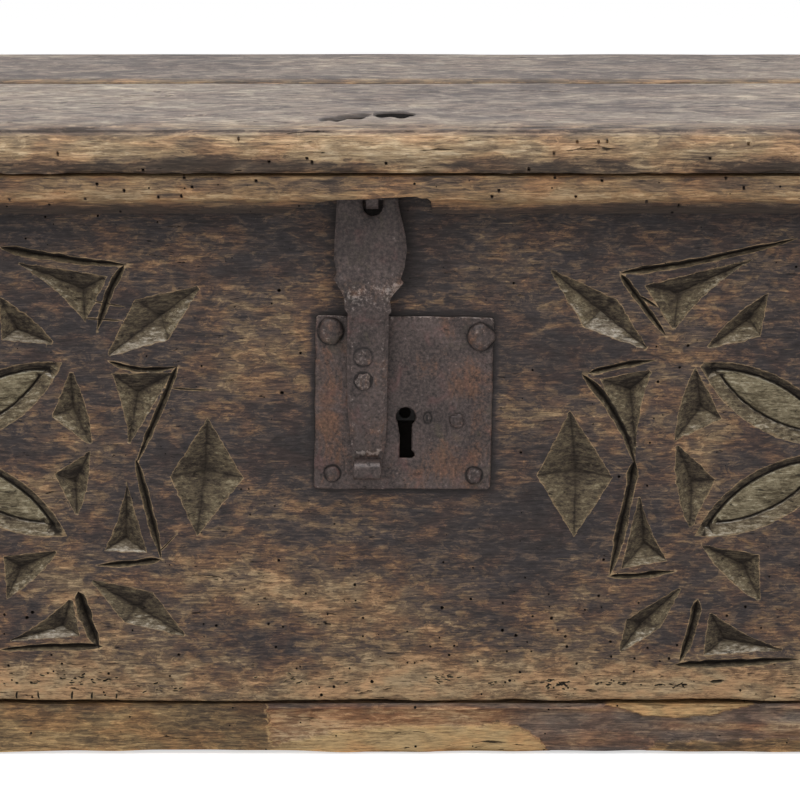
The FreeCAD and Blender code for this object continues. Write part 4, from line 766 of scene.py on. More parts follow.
class Carving:
    """Everything cut into the face: lines that the mesh follows and the depth at any point.

    A cut is its lowest and highest corner, a function that gives its depth and how near its bottom
    each point is, which paints dirt and shade, and how dusty it is, which also scales painted light.
    """

    def __init__(self):
        self.loops, self.lines, self.dots, self.cuts, self.leaves, self.burrows = [], [], [], [], [], []

    def pit(self, corners, depth, dusty, centre=None):
        """Chip or lozenge: flat-sided facets that fall to the last of the given points.

        With a centre, the first side bows along a circle round it.
        """
        *corners, middle = [np.array(corner) for corner in corners]
        outline = []
        for index, corner in enumerate(corners):
            following = corners[(index + 1) % len(corners)]
            side = following - corner
            count = max(2, math.ceil(np.linalg.norm(side) / 3.2))
            across = left_of(side / np.linalg.norm(side))
            for part in range(count):
                point = corner + side * (part / count)
                if index == 0 and centre is not None:
                    out = point - centre
                    arc = np.interp(part / count, (0, 1), (np.linalg.norm(corner - centre),
                                                           np.linalg.norm(following - centre)))
                    point = centre + out / np.linalg.norm(out) * arc
                if part:
                    point = point + across * rng.normal(0, 0.28)
                outline.append(point)
        outline = np.array(outline)
        self.loops.append(outline)
        for corner in corners:
            ridge = trace([middle, corner], 4.0, closed=False)[:-1]
            ridge[1:] += rng.normal(0, 0.25, ridge[1:].shape)
            self.lines.append(ridge)
        self.dots.append(outline + unit(outline - middle) * 1.7)
        for share in (0.4, 0.7):
            self.dots.append(middle + (outline[::2] - middle) * share)

        def depth_at(points):
            """Depth of the facets, and 1 along the creases between them."""
            gap = points - middle
            edge = outline - middle
            result, crease = np.zeros(len(points)), np.zeros(len(points))
            for first, second in zip(edge, np.roll(edge, -1, axis=0)):
                area = first[0] * second[1] - first[1] * second[0]
                if abs(area) > 1e-9:
                    one = (gap[:, 0] * second[1] - gap[:, 1] * second[0]) / area
                    two = (first[0] * gap[:, 1] - first[1] * gap[:, 0]) / area
                    fits = (one >= -1e-6) & (two >= -1e-6)
                    result = np.where(fits, np.clip(1 - one - two, 0, 1), result)
            for corner in corners:
                along = corner - middle
                share = np.clip(gap @ along / (along @ along), 0, 1)
                crease = np.maximum(crease, bell(np.hypot(*(gap - share[:, None] * along).T), 0, 2.0))
            # the second value darkens towards the pit and along the creases: painted shade
            return depth * result ** 0.94, 0.85 * np.maximum(result, crease)
        self.cuts.append((outline.min(axis=0), outline.max(axis=0), depth_at, dusty))

    def stroke(self, first, last, width, bow=0.0, taper=0.3):
        """V-shaped line that swells from its points and bows to one side."""
        first, last = np.array(first, float), np.array(last, float)
        length = np.linalg.norm(last - first)
        along = (last - first) / length
        across = left_of(along)
        shares = np.linspace(0, 1, max(4, math.ceil(length / 4.0)) + 1)
        swell = np.minimum(1, np.minimum(shares / 0.12, (1 - shares) / taper)) ** 0.7
        lumps = noise(np.stack([shares * length, shares * 0], -1), (0.16, 1), int(first[0]))
        swell = swell * (1 + 0.22 * lumps)
        half = swell * width / 2
        bend = 0.5 * noise(np.stack([shares * length, shares * 0 + 9], -1), (0.05, 1), int(last[1]))
        bend = bend * np.sin(shares * math.pi) + 4 * bow * shares * (1 - shares)
        middle = first + shares[:, None] * (last - first) + bend[:, None] * across
        self.lines.append(middle)
        for side in (-1, 1):
            self.lines.append(middle + side * half[:, None] * across)
            self.dots.append(middle[1:-1] + side * (half[1:-1, None] + 1.6) * across)

        def depth_at(points):
            """Depth of the stroke's two flanks."""
            gap = points - first
            share = np.clip(gap @ along / length, 0, 1)
            reach = np.interp(share, shares, half)
            centre = np.interp(share, shares, (middle - first) @ across)
            part = 1 - np.abs(gap @ across - centre) / np.maximum(reach, 1e-3)
            inner = np.where((gap @ along < 0) | (gap @ along > length), 0, np.clip(part, 0, 1))
            return STROKE_DEPTH * inner * reach / 2.2, 0.45 + 0.55 * inner
        self.cuts.append((middle.min(axis=0) - width, middle.max(axis=0) + width, depth_at, 0.3))

    def petal(self, centre, angle):
        """Leaf in a lens-shaped hollow, from the roundel's centre to its ring."""
        half_length = (RING - PETAL_START) / 2
        radius = (half_length ** 2 + PETAL_HALF ** 2) / (2 * PETAL_HALF)
        out = np.array([math.cos(angle), math.sin(angle)])
        across = left_of(out)
        middle = centre + out * (PETAL_START + half_length)
        opening = math.asin(half_length / radius)
        sides = []
        for sign in (-1, 1):
            heart = middle - across * sign * (radius - PETAL_HALF)
            # the side that faces up is wider, because it was cut at a flatter angle
            bevel = WIDE_BEVEL if sign * across[1] < 0 else NARROW_BEVEL
            for reach in (radius, radius - bevel, radius - bevel - LEAF_FOOT, radius - bevel - LEAF_LIP):
                limit = opening if reach == radius else math.acos((radius - PETAL_HALF) / reach) * 0.97
                turns = np.linspace(-limit, limit, math.ceil(2 * limit * reach / 3.4))
                line = heart + reach * (np.sin(turns)[:, None] * out + sign * np.cos(turns)[:, None] * across)
                line[1:-1] += rng.normal(0, 0.2, line[1:-1].shape)
                self.lines.append(line)
                if reach == radius:
                    self.dots.append(heart + (line - heart) * (1 + 1.7 / radius))
            for inner in (5.0, 8.0, 11.0):
                self.dots.append(heart + (line[::2] - heart) * (1 - inner / reach))
            sides.append((heart, bevel))

        def gaps_at(points):
            """Distances inside the petal's two sides."""
            return [radius - np.hypot(*(points - heart).T) for heart, _ in sides]

        def depth_at(points):
            """Depth of the two bevels and of the leaf between them."""
            gaps = gaps_at(points)
            levels, lines = [], []
            for gap, (_, bevel) in zip(gaps, sides):
                across = (0, bevel, bevel + LEAF_FOOT, bevel + LEAF_LIP, bevel + 7.5, bevel + 12)
                levels.append(np.interp(gap, across, PETAL_DEPTHS))
                line = np.clip(1 - np.abs(gap - bevel - 1.2) / 1.8, 0, 1)
                # the dark line is stronger under the narrow upper bevel: painted shadow
                lines.append(line * (1 if bevel == NARROW_BEVEL else 0.8))
            hit = (gaps[0] > 0) & (gaps[1] > 0)
            level = np.where(gaps[0] < gaps[1], levels[0], levels[1])
            return np.where(hit, level, 0), np.where(hit, 1.75 * np.maximum(*lines), 0)

        def leaf_at(points):
            """1 on the leaf, 0 on the bevels round it."""
            return np.minimum(*[smooth(gap, bevel + 1.2, bevel + LEAF_LIP)
                                for gap, (_, bevel) in zip(gaps_at(points), sides)])
        box = (middle - radius, middle + radius)
        self.leaves.append((*box, leaf_at))
        self.cuts.append((*box, depth_at, 1.0))

    def hole(self, point, radius):
        """Beetle hole with ragged rim."""
        turns = np.linspace(0, 2 * math.pi, 8)[:-1] + rng.uniform(0, 1)
        reach = radius * rng.uniform(0.8, 1.15, 7)
        self.loops.append(point + reach[:, None] * circle(turns))
        self.dots.append(np.array([point]))

        def depth_at(points):
            """Depth of the hole, which is as dark with dirt and painted shade as can be."""
            part = np.clip(1 - np.hypot(*(points - point).T) / (radius * 0.78), 0, 1)
            return 5.0 * part, part * 0 + 3
        self.cuts.append((point - radius, point + radius, depth_at, 0.0))
        self.burrows.append((point, radius))

    def depth(self, points):
        """Depth, how near a cut's bottom (dirt and painted shade) and how dusty (dust and painted light) each
        point is.
        """
        depth, near, dust_and_light = np.zeros(len(points)), np.zeros(len(points)), np.zeros(len(points))
        for low, high, depth_at, dusty in self.cuts:
            chosen = np.nonzero(((points >= low - 1) & (points <= high + 1)).all(axis=1))[0]
            if len(chosen):
                here, close = depth_at(points[chosen])
                deeper = here > depth[chosen]
                near[chosen] = np.where(deeper, close, near[chosen])
                dust_and_light[chosen] = np.where(deeper, dusty, dust_and_light[chosen])
                depth[chosen] = np.maximum(depth[chosen], here)
        return depth, near, dust_and_light

    def leaf(self, points):
        """1 on the leaves inside the petals, 0 elsewhere."""
        result = np.zeros(len(points))
        for low, high, leaf_at in self.leaves:
            chosen = np.nonzero(((points >= low) & (points <= high)).all(axis=1))[0]
            if len(chosen):
                result[chosen] = np.maximum(result[chosen], leaf_at(points[chosen]))
        return result


def carve_roundel(carving, side):
    """One roundel with its chips, petals and diamonds; side is 1 right of the lock and -1 left."""
    centre = np.array([side * ROUNDEL_X, ROUNDEL_Z])
    pattern = CARVING[side]
    for mirror in (1, -1):
        def local(*points):
            """Corners of the front, from angles and radii of one quarter."""
            return [centre + polar(point) * (side * mirror, 1.0) for point in points]
        for corners in pattern["outer"] + pattern["inner"]:
            carving.pit(local(*corners), CHIP_DEPTH, 0.75, centre)
        for corners, dusty in zip(pattern["lozenges"], (1.3, 0.8)):
            carving.pit(local(*corners), LOZENGE_DEPTH, dusty)
        carving.pit(local(*pattern["diamond"]), DIAMOND_DEPTH, 0.7)
        for first, last, width, bow in pattern["strokes"]:
            carving.stroke(*local(first, last), 1.15 * width, bow * side * mirror)
    for index in range(6):
        carving.petal(centre, math.radians(30 + 60 * index))
    carving.hole(centre, 1.6)


def carve_front():
    """The whole carving with its slips and the galleries of beetles, but without their holes."""
    carving = Carving()
    for side in (1, -1):
        carve_roundel(carving, side)
    for slip in SLIPS:
        carving.stroke(*slip)
    for x, z, wide, tall, count in GNAWED:
        for _ in range(count):
            middle = np.array([rng.normal(x, wide * 0.55), np.clip(rng.normal(z, tall * 0.6), 46, 68)])
            turn = rng.normal(0, 0.4)
            reach = rng.uniform(0.8, 2.6) * np.array([math.cos(turn), math.sin(turn)])
            carving.stroke(middle - reach, middle + reach, rng.uniform(0.9, 1.7))
    return carving


def front_wear_and_shadow(points):
    """How worn the face is, from its patches and its lower edge, with painted shadow under the moulding and
    round the iron.
    """
    x, z = points.T
    # darker at the top under the moulding: painted shadow
    total = patches(points, WORN, 1.15 * smooth(z, 92, 52) - 0.3 * smooth(z, 390, 420))
    # painted shadow round the plate and the top of the hasp
    for middle_x, middle_z, wide, tall, strength, fade in SHADOW_ROUND_IRON:
        gap = np.hypot(np.clip(np.abs(x - middle_x) - wide, 0, None),
                       np.clip(np.abs(z - middle_z) - tall, 0, None))
        total = total - strength * bell(gap, 0, fade)
    return total


def socket_outline(tail_half):
    """Outline of the front board with the sockets for the end boards' tails."""
    inner = HALF - END_THICK
    right = []
    for index in range(TAILS):
        middle = WALL_LOW + (WALL_TOP - WALL_LOW) * (index + 0.5) / TAILS
        right += [(HALF, middle - tail_half), (inner, middle - tail_half), (inner, middle + tail_half),
                  (HALF, middle + tail_half)]
    left = [(-x, z) for x, z in reversed(right)]
    return [(-HALF, WALL_LOW), (HALF, WALL_LOW)] + right + [(HALF, WALL_TOP), (-HALF, WALL_TOP)] + left


def paired_outlines(first, second, step):
    """The same number of points along two outlines with matching corners."""
    one, two = [], []
    first, second = np.array(first, float), np.array(second, float)
    for a, b, c, d in zip(first, np.roll(first, -1, axis=0), second, np.roll(second, -1, axis=0)):
        count = max(1, math.ceil(np.linalg.norm(b - a) / step))
        for part in range(count):
            one.append(a + (b - a) * part / count)
            two.append(c + (d - c) * part / count)
    return np.array(one), np.array(two)


def bore_front(carving):
    """Scatter beetle holes over the front, more of them low down, and clear of the cuts."""
    holes = []
    while len(holes) < BEETLE_HOLES:
        point = np.array([rng.uniform(-HALF + 12, HALF - 12), rng.uniform(44, 415)])
        chance = 0.16 + 0.84 * smooth(point[1], 170, 52) + 0.3 * float(front_wear_and_shadow(point[None])[0])
        if rng.random() < chance:
            holes.append(point)
    holes = np.array(holes)
    free = (np.abs(holes[:, 0] - LOCK_X) >= LOCK_HALF) | (np.abs(holes[:, 1] - LOCK_Z) >= LOCK_HALF)
    for turn in np.radians(np.arange(0, 360, 45)):
        for reach in (0.0, 1.6, 3.2):
            free &= carving.depth(holes + reach * np.array((math.cos(turn), math.sin(turn))))[0] == 0
    for point in holes[free]:
        carving.hole(point, rng.choice([0.8, 0.95, 1.15, 1.45], p=[0.3, 0.35, 0.25, 0.1]))


def face_dots(carving, outer):
    """Loose dots over the face: coarse under the lid, finer along the lower edge and round the plate."""
    low_x, high_x = -HALF + 3, HALF - 3
    dots = [grid_dots((low_x, WALL_LOW + 4), (high_x, UNDER_LID), (7.5, 5.5)),
            grid_dots((low_x, UNDER_LID + 5), (high_x, WALL_TOP - 4), (20, 12)),
            grid_dots((low_x, WALL_LOW + 0.8), (high_x, WALL_LOW + 4.0), (3.2, 1.2))]
    for gap in (0.6, 2.6, 5.2):
        left, right, low, high = PLATE_LEFT - gap, PLATE_RIGHT + gap, PLATE_FOOT - gap, PLATE_HEAD + gap
        dots.append(trace([(left, low), (right, low), (right, high), (left, high)], 4.0))
    return clear_of(np.concatenate(dots + carving.dots), outer, 0.5)


def face_depth(flat, depth, edge_gap):
    """Y of the face: waves of the plane, the carving, and edges that are rounded by wear."""
    x, z = flat.T
    swell = 0.45 * rough(flat, (0.012, 0.045), 11, 2) + 0.10 * noise(flat, (0.04, 0.25), 12)
    reach = 2.6 + 1.6 * noise(flat, (0.05, 0.02), 13) + 1.6 * (z < 60)
    reach = reach * (1 - 0.65 * smooth(np.abs(x), HALF - 45, HALF - 30))
    drop = reach - np.sqrt(np.clip(reach ** 2 - np.clip(reach - edge_gap, 0, None) ** 2, 0, None))
    y = FRONT + 0.35 + swell + depth + np.where(z < UNDER_LID, drop, 0)
    return np.where(z > UNDER_LID - 3, FRONT, y)


def front_panel():
    """The carved board, with the mortise for the lock behind its plate."""
    carving = carve_front()
    outer, inner = paired_outlines(socket_outline(TAIL_HALF_FACE), socket_outline(TAIL_HALF_INNER), 5.0)
    lower = (outer[:, 1] < WALL_LOW + 0.1) & (np.abs(outer[:, 0]) < HALF - 1)
    outer[lower, 1] += 0.9 + 0.9 * noise(outer[lower], (0.03, 0.1), 3)
    mortise = trace(MORTISE, 9.0)
    bore_front(carving)
    flat, tris, (rim_loop, mortise_loop, *_) = weave(
        [outer, mortise] + carving.loops, carving.lines, face_dots(carving, outer),
        lambda centres: inside(centres, outer) & ~inside(centres, mortise))
    depth, near, dust_and_light = carving.depth(flat)
    for point, radius in carving.burrows:
        near[np.hypot(*(flat - point).T) < radius * 1.3] = 3.0
    cut = (depth[tris].max(axis=1) > 0.05) & (carving.depth(flat[tris].mean(axis=1))[0] > 0.02)
    # rim: a painted highlight along the edges of the cuts, none at the beetle holes
    rim = np.zeros(len(flat))
    rim[np.intersect1d(tris[cut], tris[~cut])] = 1.0
    rim[near > 2.5] = 0.0
    points = np.stack([flat[:, 0], face_depth(flat, depth, distance_to(flat, outer)), flat[:, 1]], -1)
    shell = Shell()
    shell.add(points, tris, cut.astype(int), wear=front_wear_and_shadow(flat), deep=near, rim=rim,
              leaf=carving.leaf(flat))

    # back face, its walls, and the mortise
    dots = clear_of(grid_dots((-HALF + 6, WALL_LOW + 6), (HALF - 6, WALL_TOP - 6), (18, 12)), inner, 4)
    back, back_tris, (back_loop,) = weave([inner], (), dots, lambda centres: inside(centres, inner))
    back_y = FRONT_INNER - 0.2 - 0.35 * (1 + noise(back, (0.01, 0.05), 21)) * (distance_to(back, inner) > 1)
    start = shell.add(np.stack([back[:, 0], back_y, back[:, 1]], -1), back_tris[:, ::-1])
    shell.join(bridge(rim_loop, [start + index for index in back_loop]))
    floor, floor_tris, (floor_loop,) = weave([mortise], (), grid_dots((-30, 232), (64, 318), (12, 12)),
                                             lambda centres: inside(centres, mortise))
    floor_y = FRONT + MORTISE_DEPTH - 0.5 * (1 + noise(floor, (0.08, 0.08), 22))
    # deep of 3 paints the mortise floor black: painted shade inside the lock
    start = shell.add(np.stack([floor[:, 0], floor_y, floor[:, 1]], -1), floor_tris, 1,
                      deep=np.full(len(floor), 3.0))
    shell.join(bridge(mortise_loop, [start + index for index in floor_loop]), 1)

    # how much each facet of the carving faces up: dust and painted light where it does, painted shade where
    # it faces down
    facing_dust_and_light = np.zeros(len(shell.faces))
    corners = points[tris]
    across = unit(np.cross(corners[:, 1] - corners[:, 0], corners[:, 2] - corners[:, 0]))
    up = across[:, 2] * np.where(across[:, 1] > 0, -1, 1)
    facing_dust_and_light[:len(tris)] = up * 2.2 * np.where(up > 0, dust_and_light[tris].max(axis=1), 1)
    shell.build("carved_front", "case", ["front_board"], "front_wood", [front_wood, front_cut],
                face_values={"lift": facing_dust_and_light}, sharp=24)


front_panel()


# ---------------------------------------------------------------- boards with a worn section
CORNER_ONLY = 99.0  # step that is longer than any leg it is used for


class Section:
    """Section (depth, height) across a board, traced round its corners, and how it wears."""

    def __init__(self, corners, steps):
        self.outline = trace(corners, steps)
        self.normals = inward_normals(self.outline)

    def worn(self, inward):
        """The section with its points moved inward by a depth each."""
        return self.outline + self.normals * inward[:, None]

    def near(self, corner, reach):
        """1 at a corner, fading over reach."""
        return np.exp(-np.hypot(self.outline[:, 0] - corner[0], self.outline[:, 1] - corner[1]) / reach)


def along_x(t, outline):
    """Points of a section at X = t."""
    return np.stack([np.full(len(outline), t), outline[:, 0], outline[:, 1]], -1)


def wavy(t, middle, *parts):
    """Number that varies along a board, from parts of (strength, frequency, seed)."""
    return middle + sum(strength * noise_at(t, frequency, seed) for strength, frequency, seed in parts)


# ---------------------------------------------------------------- lid
LID_LOW, LID_HIGH = span("lid_board_front")
BACK_LOW, BACK_HIGH = span("lid_board_back")
LID_FACE, LID_UNDER, LID_TOP, JOINT = LID_LOW[1], LID_LOW[2], LID_HIGH[2], LID_HIGH[1]
NOSE_DEPTH, NOSE_FLAT, NOSE_RISE = 12, 13, 15.6
# grooves and splits in the lid's top: both ends, width and depth
SPLITS = [((-2, -157), (23, -158), 8.0, 8.0), ((-43, -188), (-9, -160), 9.0, 3.6),
          ((-120, -44), (-102, -50), 5.0, 1.4), ((-188, -14), (-172, -22), 4.0, 1.3),
          ((-145, -170), (-122, -160), 2.5, 1.6), ((96, -132), (107, -133), 3.2, 2.4),
          ((109, -13), (143, -22), 3.4, 1.8), ((-247, -236), (-203, -229), 5.5, 2.4),
          ((-70, -226), (40, -226), 2.2, 1.0), ((60, -229), (180, -232), 2.2, 1.3),
          ((190, -234), (330, -240), 2.2, 1.5), ((-640, -90), (-380, -94), 2.6, 1.5),
          ((380, -40), (640, -46), 2.4, 1.4), ((-560, -190), (-420, -186), 2.6, 1.3),
          ((420, -200), (560, -204), 3.0, 1.7)]
# beetle holes in the lid's front edge: X and height
LID_HOLES = [(-229.3, 465.1), (-168.8, 452.4), (-95.9, 463.3), (-78.9, 458.3), (-51.8, 460.8),
             (-48.3, 458.0), (4.4, 457.6), (-100.7, 474.5), (124.0, 465.1), (140.6, 472.6), (155.9, 472.0),
             (162.0, 472.8), (235.1, 460.8), (262.6, 471.2), (106.3, 453.0), (-330.0, 462.0),
             (-412.0, 470.0), (-420.0, 459.0), (352.0, 466.0), (449.0, 458.0), (505.0, 468.0),
             (-560.0, 461.0)]
# stains on the lid's front edge: centre, half sizes and strength
LID_STAINS = [(-245, 453, 80, 7, 0.6), (-128, 458, 28, 11, 0.75), (-74, 456, 20, 7, 0.5),
              (-21, 454, 26, 6, 0.45), (76, 455, 32, 7, 0.4), (151, 460, 30, 10, 0.55),
              (278, 456, 60, 9, 0.45), (-420, 455, 90, 9, 0.7), (440, 456, 90, 10, 0.6),
              (-590, 460, 40, 12, 0.6), (590, 455, 60, 9, 0.7)]


def nose(share):
    """Point of the lid's rounded front edge, from its foot to its top."""
    angle = share * math.pi / 2
    return (LID_FACE + NOSE_DEPTH * (1 - math.cos(angle)) ** 0.9,
            LID_UNDER + NOSE_FLAT + NOSE_RISE * math.sin(angle) ** 0.85)


noses = [nose(share) for share in np.linspace(0, 1, 15)[1:-1][::-1]]
lid_profile = Section(
    [(LID_FACE, LID_UNDER), (JOINT, LID_UNDER), (JOINT, LID_TOP), (-142, LID_TOP), (-174, LID_TOP),
     (LID_FACE + NOSE_DEPTH + 1.2, LID_TOP), (LID_FACE + NOSE_DEPTH, LID_TOP - 1.3), *noses,
     (LID_FACE, LID_UNDER + NOSE_FLAT)],
    [13, 6, 3.2, 1.3, 2.6] + [CORNER_ONLY] * (len(noses) + 2) + [1.2])


def split_marks(t, y):
    """Depth and darkness of the splits in the lid's top at station t."""
    result, dark = np.zeros(len(y)), np.zeros(len(y))
    for (first, first_y), (last, last_y), width, deep in SPLITS:
        run = smooth(t, first - 4, first + 5) * smooth(t, last + 4, last - 5)
        if run > 0:
            centre = np.interp(t, (first, last), (first_y, last_y))
            wander, swell = noise([[t, first_y], [t, last_y + 40]], (0.13, 1), 37)
            across = width * (1 + 0.55 * swell)
            here = deep * run * np.exp(-((y - centre - 0.35 * width * wander) / across) ** 2)
            result, dark = result + here, dark + here * deep / 4
    return result, dark


def lid_section(t):
    """Worn section of the front lid board at X = t."""
    y, z = lid_profile.outline.T
    at = along_x(t, lid_profile.outline)
    top = smooth(z, LID_TOP - 3, LID_TOP - 0.5)
    front = smooth(y, LID_FACE + 16, LID_FACE + 6)
    inward = 0.35 + 0.3 * rough(at, (0.008, 0.03, 0.05), 31, 3) * (0.4 + top + front)
    inward += top * 0.35 * rough(at, (0.03, 0.12, 0), 38, 2)
    inward += front * 0.28 * noise(at, (0.05, 0.3, 0.4), 34)
    inward += lid_profile.near((LID_FACE, LID_UNDER), 3.0) * wavy(t, 1.3, (0.9, 0.02, 35), (0.6, 0.11, 36))
    inward += top * 1.9 * smooth(y, JOINT - 9, JOINT - 1)
    inward += top * split_marks(t, y)[0] + 3.5 * front * bored(t, z, LID_HOLES)
    return lid_profile.worn(np.clip(inward, 0, None))


def lid_wear(t, outline):
    """Wear of the front lid board: golden along its worn front, stained below."""
    y, z = outline.T
    front = smooth(y, LID_FACE + 14, LID_FACE + 9)
    golden = 0.6 * bell(z, 465, 4.0) + 0.3 * smooth(z, 466, 472)
    total = front * (golden - 0.12 * smooth(z, 461, 456))
    total = total - front * 0.95 * blots(t, z, LID_STAINS)
    total = total + 0.25 * noise(along_x(t, outline), (0.01, 0.02, 0.1), 41)
    upper = smooth(z, LID_UNDER + 6, LID_UNDER + 14)
    total = total - np.clip(split_marks(t, y)[1], 0, 4) * (1 - front) * upper
    total = total - 0.9 * smooth(y, JOINT - 4, JOINT - 1) - 4 * front * bored(t, z, LID_HOLES)
    return total - 0.6 * bell(y - LID_FACE, 12.4, 1.0) * smooth(z, LID_TOP - 4, LID_TOP - 2)


def lid_bleach(t, outline):
    """How grey the front lid board is, with a painted sheen: full at the back of its top, none on its front
    edge.
    """
    y, z = outline.T
    return smooth(z, LID_TOP - 5, LID_TOP - 2) * (0.45 + 0.55 * smooth(y, LID_FACE + 20, LID_FACE + 70))


# stations along the lid, closer together at the holes and at the splits near the middle
stations = np.arange(-LID_HIGH[0], LID_HIGH[0] + 0.1, LID_HIGH[0] / 190)
lid_stations = np.unique(np.concatenate([stations, around(LID_HOLES), np.arange(-45, 32, 2.3)]))
sweep(lid_stations, lid_section, along_x, wear=lid_wear, bleach=lid_bleach).build(
    "lid_front_plank", "lid", ["lid_board_front"], "lid_wood", [lid_wood])

BACK_NEAR, BACK_FAR, BACK_UNDER, BACK_TOP = BACK_LOW[1], BACK_HIGH[1], BACK_LOW[2], BACK_HIGH[2]
back_profile = Section([(BACK_NEAR, BACK_UNDER), (BACK_FAR, BACK_UNDER), (BACK_FAR, BACK_TOP),
                        (BACK_NEAR + 14, BACK_TOP), (BACK_NEAR, BACK_TOP)], [13, 3, 5, 1.8, 6])


def back_lid_section(t):
    """Worn section of the rear lid board at X = t."""
    inward = 0.3 + 0.22 * rough(along_x(t, back_profile.outline), (0.008, 0.03, 0.05), 51, 3)
    inward += back_profile.near((BACK_FAR, BACK_TOP), 3.0) * wavy(t, 2.2, (1.6, 0.02, 52))
    inward += back_profile.near((BACK_NEAR, BACK_TOP), 5.0) * wavy(t, 2.4, (0.7, 0.012, 53))
    return back_profile.worn(np.clip(inward, 0, None))


def back_lid_wear(t, outline):
    """Wear of the rear lid board: a little more beside the joint."""
    grain = 0.2 * noise(along_x(t, outline), (0.01, 0.02, 0.1), 54)
    return grain - 0.2 + 0.15 * smooth(outline[:, 0], BACK_NEAR + 34, BACK_NEAR + 14)


def back_lid_bleach(t, outline):
    """How grey the rear lid board is, with a painted sheen: full on its top, none beside the joint."""
    y, z = outline.T
    return smooth(z, BACK_TOP - 5, BACK_TOP - 2) * smooth(y, BACK_NEAR + 12, BACK_NEAR + 34)


sweep(stations, back_lid_section, along_x, wear=back_lid_wear, bleach=back_lid_bleach).build(
    "lid_back_plank", "lid", ["lid_board_back"], "lid_wood", [lid_wood])

# ---------------------------------------------------------------- mouldings
MOULD_LOW, MOULD_HIGH = span("front_moulding")
MOULD_FACE, MOULD_INNER, MOULD_UNDER, MOULD_TOP = MOULD_LOW[1], MOULD_HIGH[1], MOULD_LOW[2], MOULD_HIGH[2]
FASCIA, UNDERCUT = 19.5, 13.0
# the notch over the hasp, as X and how far its edge rises, and the pocket for the hasp's pin
NOTCH_X = (-72.0, -57.2, -42.8, -34.2, -21.4, 12.3, 26.6, 33.7, 36.6, 37.6)
NOTCH_Z = (0.0, 5.6, 9.6, 11.3, 12.0, 14.0, 14.0, 13.0, 10.0, 0.0)
POCKET_LEFT, POCKET_RIGHT, POCKET_RISE, POCKET_FRONT = -35.5, 19.1, 22.5, 8.8
# beetle holes and dark knots of the fascia: X and height, and a knot's half sizes and strength
FASCIA_HOLES = [(125.0, 446.9), (158.6, 444.4), (85.1, 437.2), (80.2, 432.8), (140.2, 432.8), (191.1, 428.5),
                (214.8, 424.9), (247.1, 446.5), (260.2, 439.3), (-134.2, 440.1), (-88.4, 444.4),
                (-139.8, 446.7), (-265.2, 430.5), (-210.9, 431.0), (-202.0, 441.9), (-142.0, 433.4),
                (-158.4, 432.4), (-182.8, 437.2), (-330.0, 436.0), (-395.0, 441.0), (-470.0, 432.0),
                (340.0, 440.0), (402.0, 433.0), (466.0, 444.0), (540.0, 435.0), (-580.0, 440.0)]
KNOTS = [(-150, 434, 11, 2.4, 0.8), (84, 432, 7, 2.0, 0.7)]


def moulding_profile(outer, inner, low, top):
    """Section of a moulding whose face looks towards smaller values of its first coordinate."""
    arc = []
    for share in np.linspace(0, 1, 11)[1:-1]:
        angle = share * math.pi / 2
        arc.append((outer + UNDERCUT * math.sin(angle) ** 1.15 * 0.98,
                    top - FASCIA - (top - FASCIA - low) * (1 - math.cos(angle)) ** 0.8))
    corners = [(outer, top), (outer, top - FASCIA), *arc, (outer + UNDERCUT, low), (inner, low), (inner, top)]
    return Section(corners, [1.15] + [CORNER_ONLY] * (len(arc) + 1) + [2.2, 6, 6])


front_profile = moulding_profile(MOULD_FACE, MOULD_INNER, MOULD_UNDER, MOULD_TOP)


def moulding_section(t):
    """Worn section of the front moulding at X = t, with its notch and the hasp's pocket."""
    y, z = front_profile.outline.T
    inward = 0.3 + 0.25 * rough(along_x(t, front_profile.outline), (0.012, 0.05, 0.08), 61, 3)
    inward += (front_profile.near((MOULD_FACE, MOULD_TOP - FASCIA), 4.0)
               * wavy(t, 1.4, (1.2, 0.02, 62), (0.5, 0.12, 63)))
    inward += front_profile.near((MOULD_FACE, MOULD_TOP), 2.4) * wavy(t, 1.3, (1.0, 0.015, 64))
    inward += 3.5 * bored(t, z, FASCIA_HOLES)
    result = front_profile.worn(np.clip(inward, 0, None) * (1 - smooth(y, MOULD_INNER - 3, MOULD_INNER)))
    rise = np.interp(t, NOTCH_X, NOTCH_Z, left=0, right=0)
    if rise > 0:
        result[:, 1] = np.maximum(result[:, 1], MOULD_UNDER + rise + 0.5 * noise_at(t, 0.2, 65))
    if POCKET_LEFT < t < POCKET_RIGHT:
        pocket = result[:, 0] > MOULD_FACE + POCKET_FRONT
        result[pocket, 1] = np.maximum(result[pocket, 1], MOULD_UNDER + POCKET_RISE)
    return result


def moulding_wear_and_light(t, outline):
    """Greyish top and golden foot of the fascia, painted highlight on its top edge, painted shade on the
    curve under it.
    """
    y, z = outline.T
    fascia = smooth(z, MOULD_TOP - 21.5, MOULD_TOP - 18.5)
    # the second term lights the fascia's top edge: painted highlight
    golden = (0.6 * smooth(z, MOULD_TOP - 9, MOULD_TOP - 16)
              + 0.7 * smooth(z, MOULD_TOP - 2.5, MOULD_TOP - 0.5) + 0.1)
    # the curve under the fascia is darkened, less so round X 82: painted shade
    curve = 0.05 - 1.25 * smooth(z, MOULD_TOP - 20, MOULD_TOP - 30) + 0.5 * bell(t, 82, 45)
    worn = fascia * golden + (1 - fascia) * curve - 1.3 * blots(t, z, KNOTS)
    return (worn - 4 * bored(t, z, FASCIA_HOLES)) * (1 - smooth(y, MOULD_INNER - 8, MOULD_INNER - 2))


# stations along the moulding, closer together at the notch, the pocket's ends and the holes
mould_half = MOULD_HIGH[0]
pocket_ends = [end + gap for end in (POCKET_LEFT, POCKET_RIGHT) for gap in (-0.1, 0.1)]
mould_stations = np.unique(np.concatenate([
    np.arange(-mould_half, mould_half + 0.1, mould_half / 150), np.arange(-60, 42, 1.7),
    pocket_ends, NOTCH_X, around(FASCIA_HOLES)]))
sweep(mould_stations, moulding_section, along_x, wear=moulding_wear_and_light).build(
    "front_moulding_run", "lid", ["front_moulding"], "moulding_wood", [moulding_wood])


